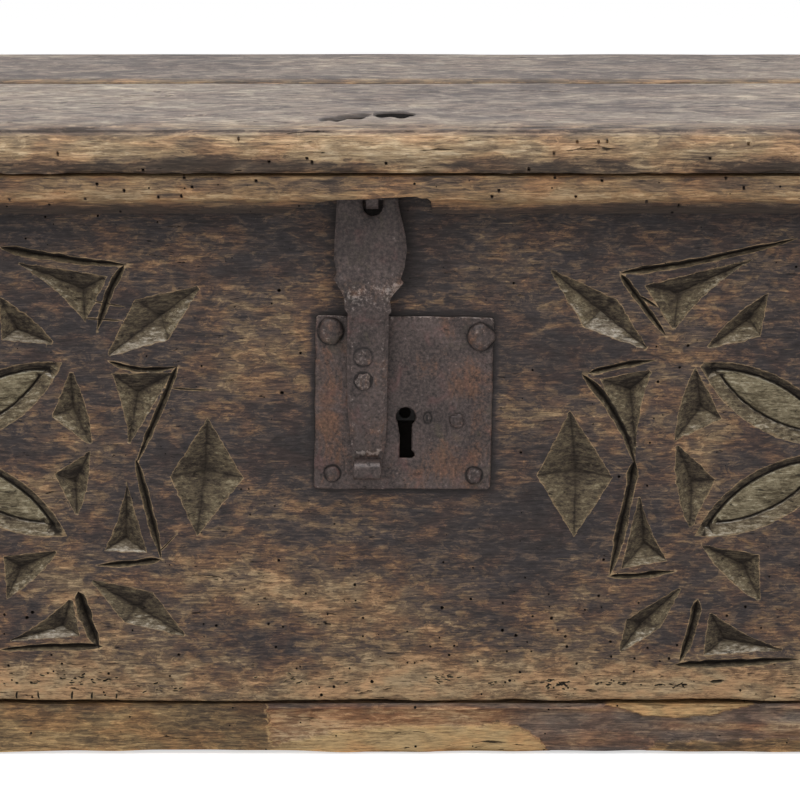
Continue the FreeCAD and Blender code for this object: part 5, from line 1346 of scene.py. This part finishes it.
def side_moulding(side, label):
    """Moulding under one end of the lid; side is -1 at the left and 1 at the right."""
    low, high = span("side_moulding_" + label)
    inner, outer = sorted((abs(low[0]), abs(high[0])))
    profile = moulding_profile(-outer, -inner, low[2], high[2])

    def section(t):
        """Worn section at Y = t, drawn as at the left end."""
        y = profile.outline[:, 0]
        inward = 0.5 + 0.4 * rough(along_x(t, profile.outline), (0.014, 0.05, 0.08), 70 + side, 3)
        return profile.worn(np.clip(inward, 0, None) * (1 - smooth(y, y.max() - 3, y.max())))

    def place(t, outline):
        """Points of the section on its own end of the lid."""
        return np.stack([outline[:, 0] * -side, np.full(len(outline), t), outline[:, 1]], -1)

    def wear(t, outline):
        """Plain fascia and painted shade on the curve under it."""
        fascia = smooth(outline[:, 1], MOULD_TOP - 22, MOULD_TOP - 18)
        return fascia * 0.3 - (1 - fascia) * 0.9
    sweep(np.arange(low[1], high[1] + 0.1, (high[1] - low[1]) / 70), section, place, wear=wear).build(
        "end_moulding_" + label, "lid", ["side_moulding_" + label], "moulding_wood", [side_wood])


side_moulding(-1, "left")
side_moulding(1, "right")


# ---------------------------------------------------------------- front bottom board
BASE_LOW, BASE_HIGH = span("bottom_board_front")
BASE_FACE, BASE_TOP = BASE_LOW[1], BASE_HIGH[2]
base_profile = Section([(BASE_FACE, BASE_LOW[2]), (BASE_HIGH[1], BASE_LOW[2]), (BASE_HIGH[1], BASE_TOP),
                        (BASE_FACE, BASE_TOP)], [14, 6, 14, 1.5])
# upper and lower limit of the torn part, as X and height
TORN_UPPER = ((160, 169, 200, 224, 250, 290, 300), (60, 40.4, 30.7, 29.3, 31.2, 41.8, 60))
TORN_LOWER = ((-88, -45, 0, 79, 89, 105, 121, 130, 196, 210, 330),
              (5, 16, 22, 23, 26, 22, 11, -3, -3, 10, 12))
TORN_LEFT, TORN_RIGHT = -86, 430


def torn(t, z):
    """Where the skin of the bottom board's front has broken away, 0 to 1."""
    jag = 1.3 * noise(np.stack([np.full(len(z), t), z], -1), (0.16, 0.5), 81)
    start = smooth(t + 2 * jag + 0.1 * z, TORN_LEFT, TORN_LEFT + 6)
    upper, lower = np.interp(t, *TORN_UPPER), np.interp(t, *TORN_LOWER)
    far = smooth(t, TORN_RIGHT, TORN_RIGHT - 20)
    return start * far * smooth(upper - z - jag, -0.6, 0.6) * smooth(z - lower - jag, -0.6, 0.6)


def base_section(t):
    """Worn section of the front bottom board at X = t."""
    y, z = base_profile.outline.T
    at = along_x(t, base_profile.outline)
    front = smooth(y, BASE_FACE + 4, BASE_FACE)
    inward = 0.4 + front * 0.5 * rough(at, (0.01, 0.05, 0.06), 82, 3)
    inward += front * torn(t, z) * smooth(z, -2, 8) * (2.4 + 0.9 * rough(at, (0.012, 0, 0.16), 83, 3))
    inward += base_profile.near((BASE_FACE, BASE_TOP), 2.4) * wavy(t, 1.5, (1.2, 0.02, 84))
    inward += base_profile.near((BASE_FACE, BASE_LOW[2]), 2.4) * wavy(t, 1.5, (1.2, 0.03, 85))
    result = base_profile.worn(np.clip(inward, 0, None) * np.maximum(front, 0.15))
    lift = wavy(t, 1.7, (1.7, 0.012, 86))
    result[:, 1] += lift * smooth(result[:, 0], BASE_FACE + 14, BASE_FACE + 2) * smooth(result[:, 1], 6, 0)
    return result


def base_front(outline):
    """1 on the board's front and 0 further in."""
    return smooth(outline[:, 0], BASE_FACE + 8, BASE_FACE + 4)


def base_torn(t, outline):
    """Where the broken fibres show."""
    return torn(t, outline[:, 1]) * base_front(outline)


def base_rim(t, outline):
    """1 along the broken edge of the skin, where a highlight is painted."""
    gone = base_torn(t, outline)
    return 4 * gone * (1 - gone)


def base_wear_and_shade(t, outline):
    """Wear of the bottom board: warm at the left of the torn part, grey above and at its right, painted shade
    along its top.
    """
    z = outline[:, 1]
    at = along_x(t, outline)
    # darker along the top under the front board: painted shade
    skin = 0.3 + 0.4 * noise(at, (0.008, 0.01, 0.03), 87) - 0.6 * smooth(z, 38, 43)
    skin += base_front(outline) * (
        smooth(t, -110, -60) * smooth(t, 140, 110) * smooth(z, 28, 22)
        + smooth(t, 150, 170) * smooth(t, 310, 290) * smooth(z, 28, 32)
        + 0.1 * smooth(t, -80, -110) + 0.8 * smooth(z, 5.5, 3.0))
    warm = smooth(t, 130, 60) * smooth(z, 41, 33)
    bare = 0.9 * warm + 0.02 * (1 - warm) + 0.45 * noise(at, (0.012, 0.01, 0.14), 88)
    gone = base_torn(t, outline)
    # the torn part too is darker along the top: painted shade
    return skin * (1 - gone) + bare * gone - 0.5 * gone * smooth(z, 38, 43)


# stations along the board, closer together where it is torn
base_stations = np.unique(np.concatenate([
    np.arange(-HALF, HALF + 0.1, HALF / 150), np.arange(-110, 330, 2.2)]))
sweep(base_stations, base_section, along_x, wear=base_wear_and_shade, torn=base_torn, rim=base_rim).build(
    "bottom_front_plank", "case", ["bottom_board_front"], "bottom_wood", [base_wood])


# ---------------------------------------------------------------- iron work
PLATE_FACE = span("lock_plate")[0][1]
FRONTWARD = (0, -1, 0)
KEY_X, KEY_Z, KEY_RADIUS = 18.7, 264.6, 7.4
RIVET_X, RIVET_Z, RIVET_RADIUS = 56.6, 262.3, 5.2
TENON_X, TENON_Z, TENON_WIDE, TENON_TALL = 34.8, 263.9, 2.9, 4.4
STUD_X, STUD_Z, STUD_RADIUS = 22.5, 293.7, 3.2
# nail heads on the plate: x, z, radius, rise, seed and how tall the head is for its width
UPPER_HEADS = ((-36.4, 329.4, 9.3, 4.6, 3, 1.05), (73.9, 325.2, 9.6, 4.6, 5, 1.1))
LOWER_HEADS = ((-35.8, 222.0, 5.7, 3.6, 7, 1.05), (69.2, 220.4, 5.8, 3.6, 9, 1.05))
# rusty patches of the plate: centre, half sizes and strength
RUSTY = [(-40, 268, 7, 32, 1.0), (61, 288, 15, 12, 1.1), (75, 258, 9, 22, 0.9), (54, 232, 18, 12, 1.0),
         (71, 213, 10, 6, 0.7), (27, 305, 16, 10, 0.5), (50, 331, 5, 12, 0.7), (-32, 240, 8, 20, 0.6),
         (30, 222, 22, 7, 0.4), (34, 330, 14, 10, -0.6), (12, 285, 10, 24, -0.5), (40, 264, 8, 10, -0.4)]


def sheet(outline, holes, front_at, back_at, step, rings, wear_and_light_at, rust_at=None, spots=()):
    """Sheet between two surfaces over an outline in the plane of the front.

    front_at(points, gap) and back_at(points) give Y, and gap is the distance to the nearest edge.
    rings are the distances at which the mesh follows the edges, and spots are (x, z, radius) of
    places where it is finer.
    """
    edges = [outline] + holes
    dots = grid_dots(outline.min(axis=0), outline.max(axis=0), (step, step))
    for gap in rings:
        dots = np.concatenate([dots, outline + inward_normals(outline) * gap]
                              + [hole - inward_normals(hole) * gap for hole in holes])
    turns = np.radians(np.arange(0, 360, 20))
    for x, z, radius in spots:
        dots = np.concatenate([dots] + [circle(turns) * (radius + gap) + (x, z) for gap in (-0.9, 0.3, 1.8)])

    def solid(points):
        """Inside the outline and outside its holes."""
        return inside(points, outline) & ~np.any([inside(points, hole) for hole in holes], axis=0)

    def edge_gap(points):
        """Distance to the nearest edge."""
        return np.min([distance_to(points, edge) for edge in edges], axis=0)
    dots = dots[solid(dots)]
    dots = dots[edge_gap(dots) > min(rings) * 0.6]
    flat, tris, loops = weave(edges, (), dots, solid)
    gap = edge_gap(flat)
    shell = Shell()
    shell.add(np.stack([flat[:, 0], front_at(flat, gap), flat[:, 1]], -1), tris, wear=wear_and_light_at(flat, gap),
              rust=rust_at(flat) if rust_at else np.zeros(len(flat)))
    start = shell.add(np.stack([flat[:, 0], back_at(flat), flat[:, 1]], -1), tris[:, ::-1])
    for index, loop in enumerate(loops):
        other = [start + item for item in loop]
        shell.join(bridge(loop, other) if index == 0 else bridge(other, loop))
    return shell


def round_corners(corners, radius, step):
    """Closed outline with its corners rounded."""
    corners = [np.array(corner, float) for corner in corners]
    line = []
    for index, corner in enumerate(corners):
        sides = (corners[index - 1] - corner, corners[(index + 1) % len(corners)] - corner)
        cut = min(radius, *[np.linalg.norm(side) / 2.2 for side in sides])
        start, end = [corner + side / np.linalg.norm(side) * cut for side in sides]
        for share in (0.0, 0.33, 0.67, 1.0):
            line.append((1 - share) ** 2 * start + 2 * share * (1 - share) * corner + share ** 2 * end)
    return trace(line, step)


def oval(flat):
    """Distance from the tenon's centre, 1 on its edge."""
    return np.hypot((flat[:, 0] - TENON_X) / TENON_WIDE, (flat[:, 1] - TENON_Z) / TENON_TALL)


def plate_front(flat, gap):
    """Hammered face of the lock plate with worn edges and the ends of a tenon and a stud."""
    swell = 0.22 * rough(flat, (0.03, 0.03), 93, 3)
    drop = 0.9 * smooth(gap, 1.1, 0.0) ** 2
    groove = 0.8 * bell(oval(flat), 1, 0.28) + 0.25 * bell(away(flat, STUD_X, STUD_Z), STUD_RADIUS, 0.8)
    return PLATE_FACE + 0.25 + swell + drop + groove


def plate_back(flat):
    """Back of the plate, flat on the board."""
    return np.full(len(flat), FRONT + 0.02)


def plate_wear_and_light(flat, gap):
    """Rubbed edges with a painted highlight along the top one, painted shade round the nail heads, the rivet
    and the tenon.
    """
    # rubbed edges, with a painted highlight along the top one
    total = smooth(gap, 1.3, 0.2) * (0.2 + 0.9 * smooth(flat[:, 1], 332, 337))
    # painted shade round the nail heads
    for x, z, radius, *_ in UPPER_HEADS + LOWER_HEADS:
        total = total - 1.1 * bell(away(flat, x, z) - radius, 0.2, 1.3)
    # painted shade in the tenon's groove and round the rivet; the tenon's end is rubbed
    total = total - 0.9 * bell(oval(flat), 1, 0.3) + 0.5 * (oval(flat) < 0.7)
    return total - 0.5 * bell(away(flat, RIVET_X, RIVET_Z), RIVET_RADIUS + 0.4, 1.2)


def plate_rust(flat):
    """How much more the plate has rusted, from its patches."""
    return patches(flat, RUSTY, -0.25)


# outlines of the plate, its keyhole (a round head on a foot that turns right) and its slot for the hasp
plate_loop = round_corners([(-49.4, 209.9), (81.2, 209.2), (83.2, 339.5), (-47.0, 341.0)], 3.2, 3.0)
plate_loop = plate_loop + 0.45 * np.stack([noise(plate_loop, (0.08, 0.08), seed) for seed in (91, 92)], -1)
key_round = (KEY_X, KEY_Z) + KEY_RADIUS * circle(np.radians(np.arange(-52, 233, 19)))
key_loop = trace([*key_round, (14.2, 250.0), (13.9, 233.3), (22.9, 233.1), (25.2, 234.6), (24.9, 237.2),
                  (22.9, 239.4), (22.9, 250.0)], 3.0)
slot_loop = trace([(-17.6, 289.5), (-7.6, 289.5), (-7.6, 317.5), (-17.6, 317.5)], 4.0)
plate_spots = [head[:3] for head in UPPER_HEADS + LOWER_HEADS] + [
    (RIVET_X, RIVET_Z, RIVET_RADIUS), (TENON_X, TENON_Z, 1.2), (TENON_X, TENON_Z, 4.0),
    (STUD_X, STUD_Z, STUD_RADIUS)]
sheet(plate_loop, [key_loop, slot_loop], plate_front, plate_back, 3.6, (0.8,), plate_wear_and_light, plate_rust,
      plate_spots).build("lock_plate_sheet", "case", ["lock_plate"], "plate_iron", [plate_iron])


KNOB_SIDES = 28


def knob(shell, seat, radius, rise, seed, shank, facets, square=0.0, tall=1.0, bare=0.0):
    """Hammered nail head that faces frontward, and its shank; bare is how much more it is rubbed."""
    direction = np.array(FRONTWARD, float)
    first = np.cross(direction, (0.3, 0.2, 1.0))
    first /= np.linalg.norm(first)
    second = np.cross(direction, first)
    count = KNOB_SIDES
    turns = np.linspace(0, 2 * math.pi, count + 1)[:-1]
    wheel = np.cos(turns)[:, None] * first + np.sin(turns)[:, None] * second
    outline = 1 + facets * noise(1.4 * circle(turns) + seed * 9.1, (1, 1), seed)
    outline *= 1 + square * np.cos(4 * turns + seed)
    # share of the radius, share of the rise and rubbing of each ring, below 0 at the foot for painted shade
    # under the head's edge
    profile = ((0.97, -0.3 / rise, -0.9), (1.0, 0.12, -0.7), (0.97, 0.42, bare), (0.88, 0.68, 0.3 + bare),
               (0.7, 0.88, 0.4 + bare), (0.45, 0.98, 0.35 + bare), (0.2, 1.02, 0.25 + bare))
    rings, rub_and_shade = [], []
    for reach, up, rubbed in profile:
        ring = wheel * (radius * reach * outline)[:, None]
        ring[:, 2] *= tall
        bumps = 0.14 * rise * noise(ring + seed * 3.3, (0.35, 0.35, 0.35), seed)
        rings.append(np.array(seat) + ring + direction * (rise * up + bumps * (up > 0.2))[:, None])
        rub_and_shade += [rubbed] * count
    top = (len(rings) - 1) * count
    tip = top + count
    faces = tube(len(rings), count)
    faces += [(top + index, top + (index + 1) % count, tip) for index in range(count)]
    tail = [np.array(seat) + wheel * reach - direction * back
            for reach, back in ((2.3, 0.3), (2.2, shank * 0.7), (0.8, shank))]
    chain = [list(range(start, start + count))
             for start in (0, tip + 1, tip + 1 + count, tip + 1 + 2 * count)]
    for one, two in zip(chain, chain[1:]):
        faces += bridge(two, one)
    faces.append(tuple(chain[-1]))
    points = np.concatenate(rings + [[np.array(seat) + direction * rise]] + tail)
    shell.add(points, faces, wear=np.concatenate([rub_and_shade, [0.2 + bare], np.zeros(len(tail) * count)]))


for label, heads in (("upper", UPPER_HEADS), ("lower", LOWER_HEADS)):
    nails = Shell()
    for x, z, radius, rise, seed, tall in heads:
        knob(nails, (x, PLATE_FACE, z), radius, rise, seed, shank=24, facets=0.12, square=0.04, tall=tall)
    nails.build(label + "_plate_nails", "case", ["plate_nails_" + label], "nail_iron", [nail_iron], sharp=40)
rivet = Shell()
knob(rivet, (RIVET_X, PLATE_FACE, RIVET_Z), RIVET_RADIUS, 1.6, 11, shank=4.4, facets=0.25)
rivet.build("bridge_rivet_head", "case", ["bridge_rivet"], "lock_iron", [plate_iron], sharp=40)

# ---------------------------------------------------------------- hasp
# outline down the left side and up the right
STRAP_LEFT = [(-30.6, 432.0), (-31.4, 424.2), (-31.8, 416.9), (-33.0, 399.8), (-33.4, 385.5), (-32.4, 378.7),
              (-31.4, 374.5), (-33.7, 370.6), (-32.3, 368.7), (-29.8, 364.6), (-27.2, 360.0), (-25.8, 354.9),
              (-25.9, 349.3), (-24.8, 347.4), (-23.6, 345.5), (-23.8, 336.0), (-24.3, 311.7), (-24.2, 275.5),
              (-22.6, 255.0), (-21.2, 242.0), (-20.4, 232.0)]
STRAP_RIGHT = [(1.6, 232.0), (2.6, 240.0), (3.7, 245.7), (4.6, 266.2), (5.0, 293.8), (6.1, 330.0),
               (6.1, 344.6), (8.0, 346.4), (7.6, 351.2), (6.9, 354.6), (8.1, 357.6), (10.4, 360.6),
               (13.3, 363.8), (16.9, 367.9), (14.8, 370.4), (17.7, 379.0), (19.4, 392.0), (18.4, 401.1),
               (16.6, 409.6), (14.7, 416.9), (13.3, 424.2), (12.6, 432.0)]
# Y of the strap's back and its thickness, against height
BACK_LINE = ((228.0, 242.0, 343.0, 371.0, 406.5, 432.2), (-228.1, -228.1, -237.6, -237.6, -233.0, -233.0))
FORGED = ((228.0, 240.0, 300.0, 341.4, 342.4, 352.0, 366.0, 380.0, 432.0),
          (3.4, 4.2, 4.8, 4.9, 6.0, 5.8, 5.0, 4.2, 4.0))
LOOP_X, UPPER_RIVET_Z, LOWER_RIVET_Z, BOLT_Z = -12.6, 312.5, 294.5, 303.5
# rubbed spots of the strap, and rings of painted shade round its rivets: x, z, radius and strength
RUBBED_SPOTS = ((-19, 357, 6, 0.5), (10, 364, 6, 0.6), (-3, 364, 9, 0.25), (10, 401, 2.5, 0.8))
RIVET_SHADE_RINGS = ((LOOP_X, LOWER_RIVET_Z, 5.8, 1.6), (LOOP_X, UPPER_RIVET_Z, 6.8, 0.9))
# the thumb curl: where it leaves the strap as (Y, Z), its middle, radius and half width
CURL_START = ((-230.0, 240.0), (-229.9, 234.0))
CURL_X, CURL_Y, CURL_Z, CURL_RADIUS, CURL_HALF = -9.9, -235.6, 226.9, 6.3, 10.6
# section of the curl: share of its half width and distance outward
CURL_SECTION = ((-1.0, 1.1), (-0.92, 1.75), (0.0, 1.85), (0.92, 1.75), (1.0, 1.1), (1.0, -1.1), (0.92, -1.7),
                (-0.92, -1.7), (-1.0, -1.1))


def strap_back(flat):
    """Back of the strap, which steps forward over the plate's rivets."""
    return np.interp(flat[:, 1], *BACK_LINE)


def strap_front(flat, gap):
    """Forged front of the strap: chamfered shaft, stepped collar, flat spade."""
    z = flat[:, 1]
    shaft = smooth(z, 349, 345)
    chamfer = 2.3 * smooth(gap, 4.0, 0.2) * shaft + 1.6 * smooth(gap, 2.4, 0.0) * (1 - shaft)
    hammered = 0.12 + 0.22 * smooth(np.abs(z - 362), 18, 8)
    swell = 0.35 * rough(flat, (0.04, 0.04), 95, 3) + hammered * noise(flat, (0.22, 0.22), 96)
    return strap_back(flat) - np.interp(z, *FORGED) + chamfer + swell - 0.5 * bell(z, 360, 8)


def strap_wear_and_light(flat, gap):
    """Rubbed edges and neck specks, painted highlight over the neck, painted shade on the upper strap and
    round rivets.
    """
    x, z = flat.T
    # rubbed edges, and a rubbed and painted highlight over the neck
    total = 0.3 * smooth(gap, 1.6, 0.0) + 0.45 * bell(z, 358, 11)
    total = total + 0.45 * bell(gap, 3.6, 0.9) * smooth(z, 349, 345)
    # darker upper strap: painted shade
    total = total - 0.35 * smooth(z, 370, 388)
    total = total + 1.3 * bell(z, 239.0, 1.3) * (np.abs(x - CURL_X) < 9)
    for middle, level, radius, strength in RUBBED_SPOTS:
        total = total + strength * bell(away(flat, middle, level), 0, radius)
    # painted shade round the rivets
    for middle, level, radius, strength in RIVET_SHADE_RINGS:
        total = total - strength * bell(away(flat, middle, level) - radius, 0.4, 1.2)
    return total


def curl(shell):
    """Rolled thumb end of the strap."""
    shares = np.linspace(0, 1, 26)
    reach = CURL_RADIUS * (1 - 0.10 * shares)
    rolled = (CURL_Y, CURL_Z) + reach[:, None] * circle(np.radians(20 - 350 * shares))
    path = np.concatenate([CURL_START, rolled])
    widths = np.concatenate([[CURL_HALF, CURL_HALF], CURL_HALF - 0.5 * shares])
    along = unit(np.gradient(path, axis=0))
    out = np.stack([along[:, 1], -along[:, 0]], -1)
    points = []
    for index, (middle, width) in enumerate(zip(path, widths)):
        for across, off in CURL_SECTION:
            y, z = middle + out[index] * off
            bump = 0.25 * float(noise([[across * 9, index * 2.0]], (0.3, 0.3), 97)[0])
            points.append((CURL_X + across * width + bump, y, z))
    count, levels = len(CURL_SECTION), len(path)
    faces = tube(levels, count) + [tuple(range(count)), tuple(range((levels - 1) * count, levels * count))]
    shell.add(points, faces, 1, wear=np.repeat(smooth(np.arange(levels), levels - 6, levels - 1), count))


# hole for the pin: flat above, half round below
hole_loop = trace([(2.1, 427.8), (-12.7, 427.8), *((-5.3, 423.6) + (7.4, 7.6) * circle(
    np.radians(np.arange(180, 361, 15))))], 3.0)
strap = sheet(trace(STRAP_LEFT + STRAP_RIGHT, 3.0), [hole_loop[::-1]], strap_front, strap_back, 2.6,
              (1.0, 3.4), strap_wear_and_light, spots=[(LOOP_X, LOWER_RIVET_Z, 5.8), (LOOP_X, UPPER_RIVET_Z, 6.6)])
curl(strap)
strap.build("hasp_strap_forged", "hasp", ["hasp_strap"], "hasp_iron", [hasp_iron, curl_iron])

# loop behind the strap: two riveted ends and the bar that the bolt passes behind
loop = Shell()
LOOP_BACK = span("hasp_loop")[1][1]
BAR_HALF_X, BAR_HALF_Z, BAR_DEPTH, BAR_EDGE = 3.0, 12.0, 4.0, 0.6
for level, radius, rise, seed, tall, bare in ((UPPER_RIVET_Z, 6.8, 0.9, 13, 0.9, 0.08),
                                              (LOWER_RIVET_Z, 5.8, 1.9, 15, 1.05, 0.26)):
    face = float(strap_front(np.array([[LOOP_X, level]]), np.array([8.0]))[0])
    knob(loop, (LOOP_X, face, level), radius, rise, seed, shank=abs(LOOP_BACK - face) - 1.0, facets=0.24,
         tall=tall, bare=bare)
bar = []
for back, shrink in ((BAR_DEPTH, BAR_EDGE), (BAR_DEPTH - BAR_EDGE, 0.0), (BAR_EDGE, 0.0), (0.0, BAR_EDGE)):
    bar += [(LOOP_X + a * (BAR_HALF_X - shrink), LOOP_BACK - back, BOLT_Z + b * (BAR_HALF_Z - shrink))
            for a, b in ((-1, -1), (1, -1), (1, 1), (-1, 1))]
loop.add(bar, tube(4, 4) + [(0, 1, 2, 3), (15, 14, 13, 12)])
loop.build("hasp_loop_rivets", "hasp", ["hasp_loop"], "hasp_iron", [hasp_iron], sharp=40)


# ---------------------------------------------------------------- nodes that keep their own shape
FINISHES = {back_wood: ["back_board"], end_wood: ["end_board_left", "end_board_right"],
            base_wood: ["bottom_board_back"], dowel_wood: ["lid_dowels"], hasp_iron: ["hasp_pin"],
            lock_iron: ["bolt_guide_left", "bolt_guide_right", "bolt_spring", "key_bridge", "collar_ward",
                        "lock_bolt"],
            nail_iron: ["bottom_nails", "hinge_case_pin_left", "hinge_case_pin_right", "hinge_lid_pin_left",
                        "hinge_lid_pin_right", "moulding_nails"]}
# how far the edges of some are eased
EASED = {"back_board": 1.2, "end_board_left": 1.2, "end_board_right": 1.2, "bottom_board_back": 1.2,
         "hasp_pin": 0.8}
for finish, names in FINISHES.items():
    for name in names:
        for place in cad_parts[name].material_slots:
            place.material = finish
for name, width in EASED.items():
    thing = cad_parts[name]
    thing.modifiers.new("weld", "WELD").merge_threshold = 0.00002
    bevel = thing.modifiers.new("bevel", "BEVEL")
    bevel.width = width * MM
    bevel.segments = 2
    bevel.limit_method = "ANGLE"
    bevel.angle_limit = math.radians(40)


# ---------------------------------------------------------------- floor, world, light and camera
def link(name, data, place=(0, 0, 0), turn=(0, 0, 0)):
    """New object in the scene."""
    thing = bpy.data.objects.new(name, data)
    thing.location = place
    thing.rotation_euler = turn
    bpy.context.collection.objects.link(thing)
    return thing


def lamp(name, position, target, size, power):
    """Soft box aimed at a point."""
    data = bpy.data.lights.new(name, "AREA")
    data.shape = "RECTANGLE"
    data.size, data.size_y = size
    data.energy = power
    link(name, data, position, (Vector(target) - Vector(position)).to_track_quat("-Z", "Y").to_euler())


floor_mesh = bpy.data.meshes.new("floor")
floor_mesh.from_pydata([(-12, -8, 0), (12, -8, 0), (12, 16, 0), (-12, 16, 0)], [], [(0, 1, 2, 3)])
floor = link("floor", floor_mesh)
# the floor glows a little for the camera alone, so that it meets the backdrop without an edge
ground = Paint("floor")
seen = ground.add("ShaderNodeLightPath").outputs["Is Camera Ray"]
diffuse = ground.add("ShaderNodeBsdfDiffuse", {"Color": (0.86, 0.86, 0.86, 1)}).outputs[0]
glow = ground.add("ShaderNodeEmission", {"Color": (1, 1, 1, 1), "Strength": 0.62}).outputs[0]
both = ground.add("ShaderNodeAddShader", {0: diffuse, 1: glow}).outputs[0]
pick = ground.add("ShaderNodeMixShader", {0: seen, 1: diffuse, 2: both})
ground.add("ShaderNodeOutputMaterial", {0: pick.outputs[0]})
floor_mesh.materials.append(ground.material)

# the world is white for the camera and for reflections of its far side, and softer as a light
world = bpy.data.worlds.new("studio")
bpy.context.scene.world = world
world.use_nodes = True
sky = Nodes(world.node_tree)
rays = sky.add("ShaderNodeLightPath").outputs
soft, white = [sky.add("ShaderNodeBackground", {0: (1, 1, 1, 1), 1: strength}).outputs[0]
               for strength in (0.42, 1.0)]
view = sky.add("ShaderNodeSeparateXYZ", {0: sky.add("ShaderNodeTexCoord").outputs["Generated"]})
far_side = sky.add("ShaderNodeMapRange", {0: view.outputs[1], "From Min": -0.1, "From Max": 0.4}).outputs[0]
shown = sky.calc("MAXIMUM", rays["Is Camera Ray"], sky.calc("MULTIPLY", rays["Is Glossy Ray"], far_side))
pick = sky.add("ShaderNodeMixShader", {0: shown, 1: soft, 2: white})
sky.add("ShaderNodeOutputWorld", {0: pick.outputs[0]})

# lights in the order name, place, target, size in metres and watts
lamp("key", (0.0, -1.3, 2.6), (0, 0, 0.3), (2.6, 1.6), 46)
lamp("fill", (-1.2, -3.0, 1.2), (0, 0, 0.25), (1.8, 1.8), 8)

CAMERA_PLACE, CAMERA_DIP = (0.0144, -2.225, 0.7526), 13.374
camera_data = bpy.data.cameras.new("camera")
camera_data.lens = 125.43
camera_data.sensor_width = 36
bpy.context.scene.camera = link("camera", camera_data, CAMERA_PLACE, (math.radians(90 - CAMERA_DIP), 0, 0))
bpy.context.scene.view_settings.view_transform = "Standard"
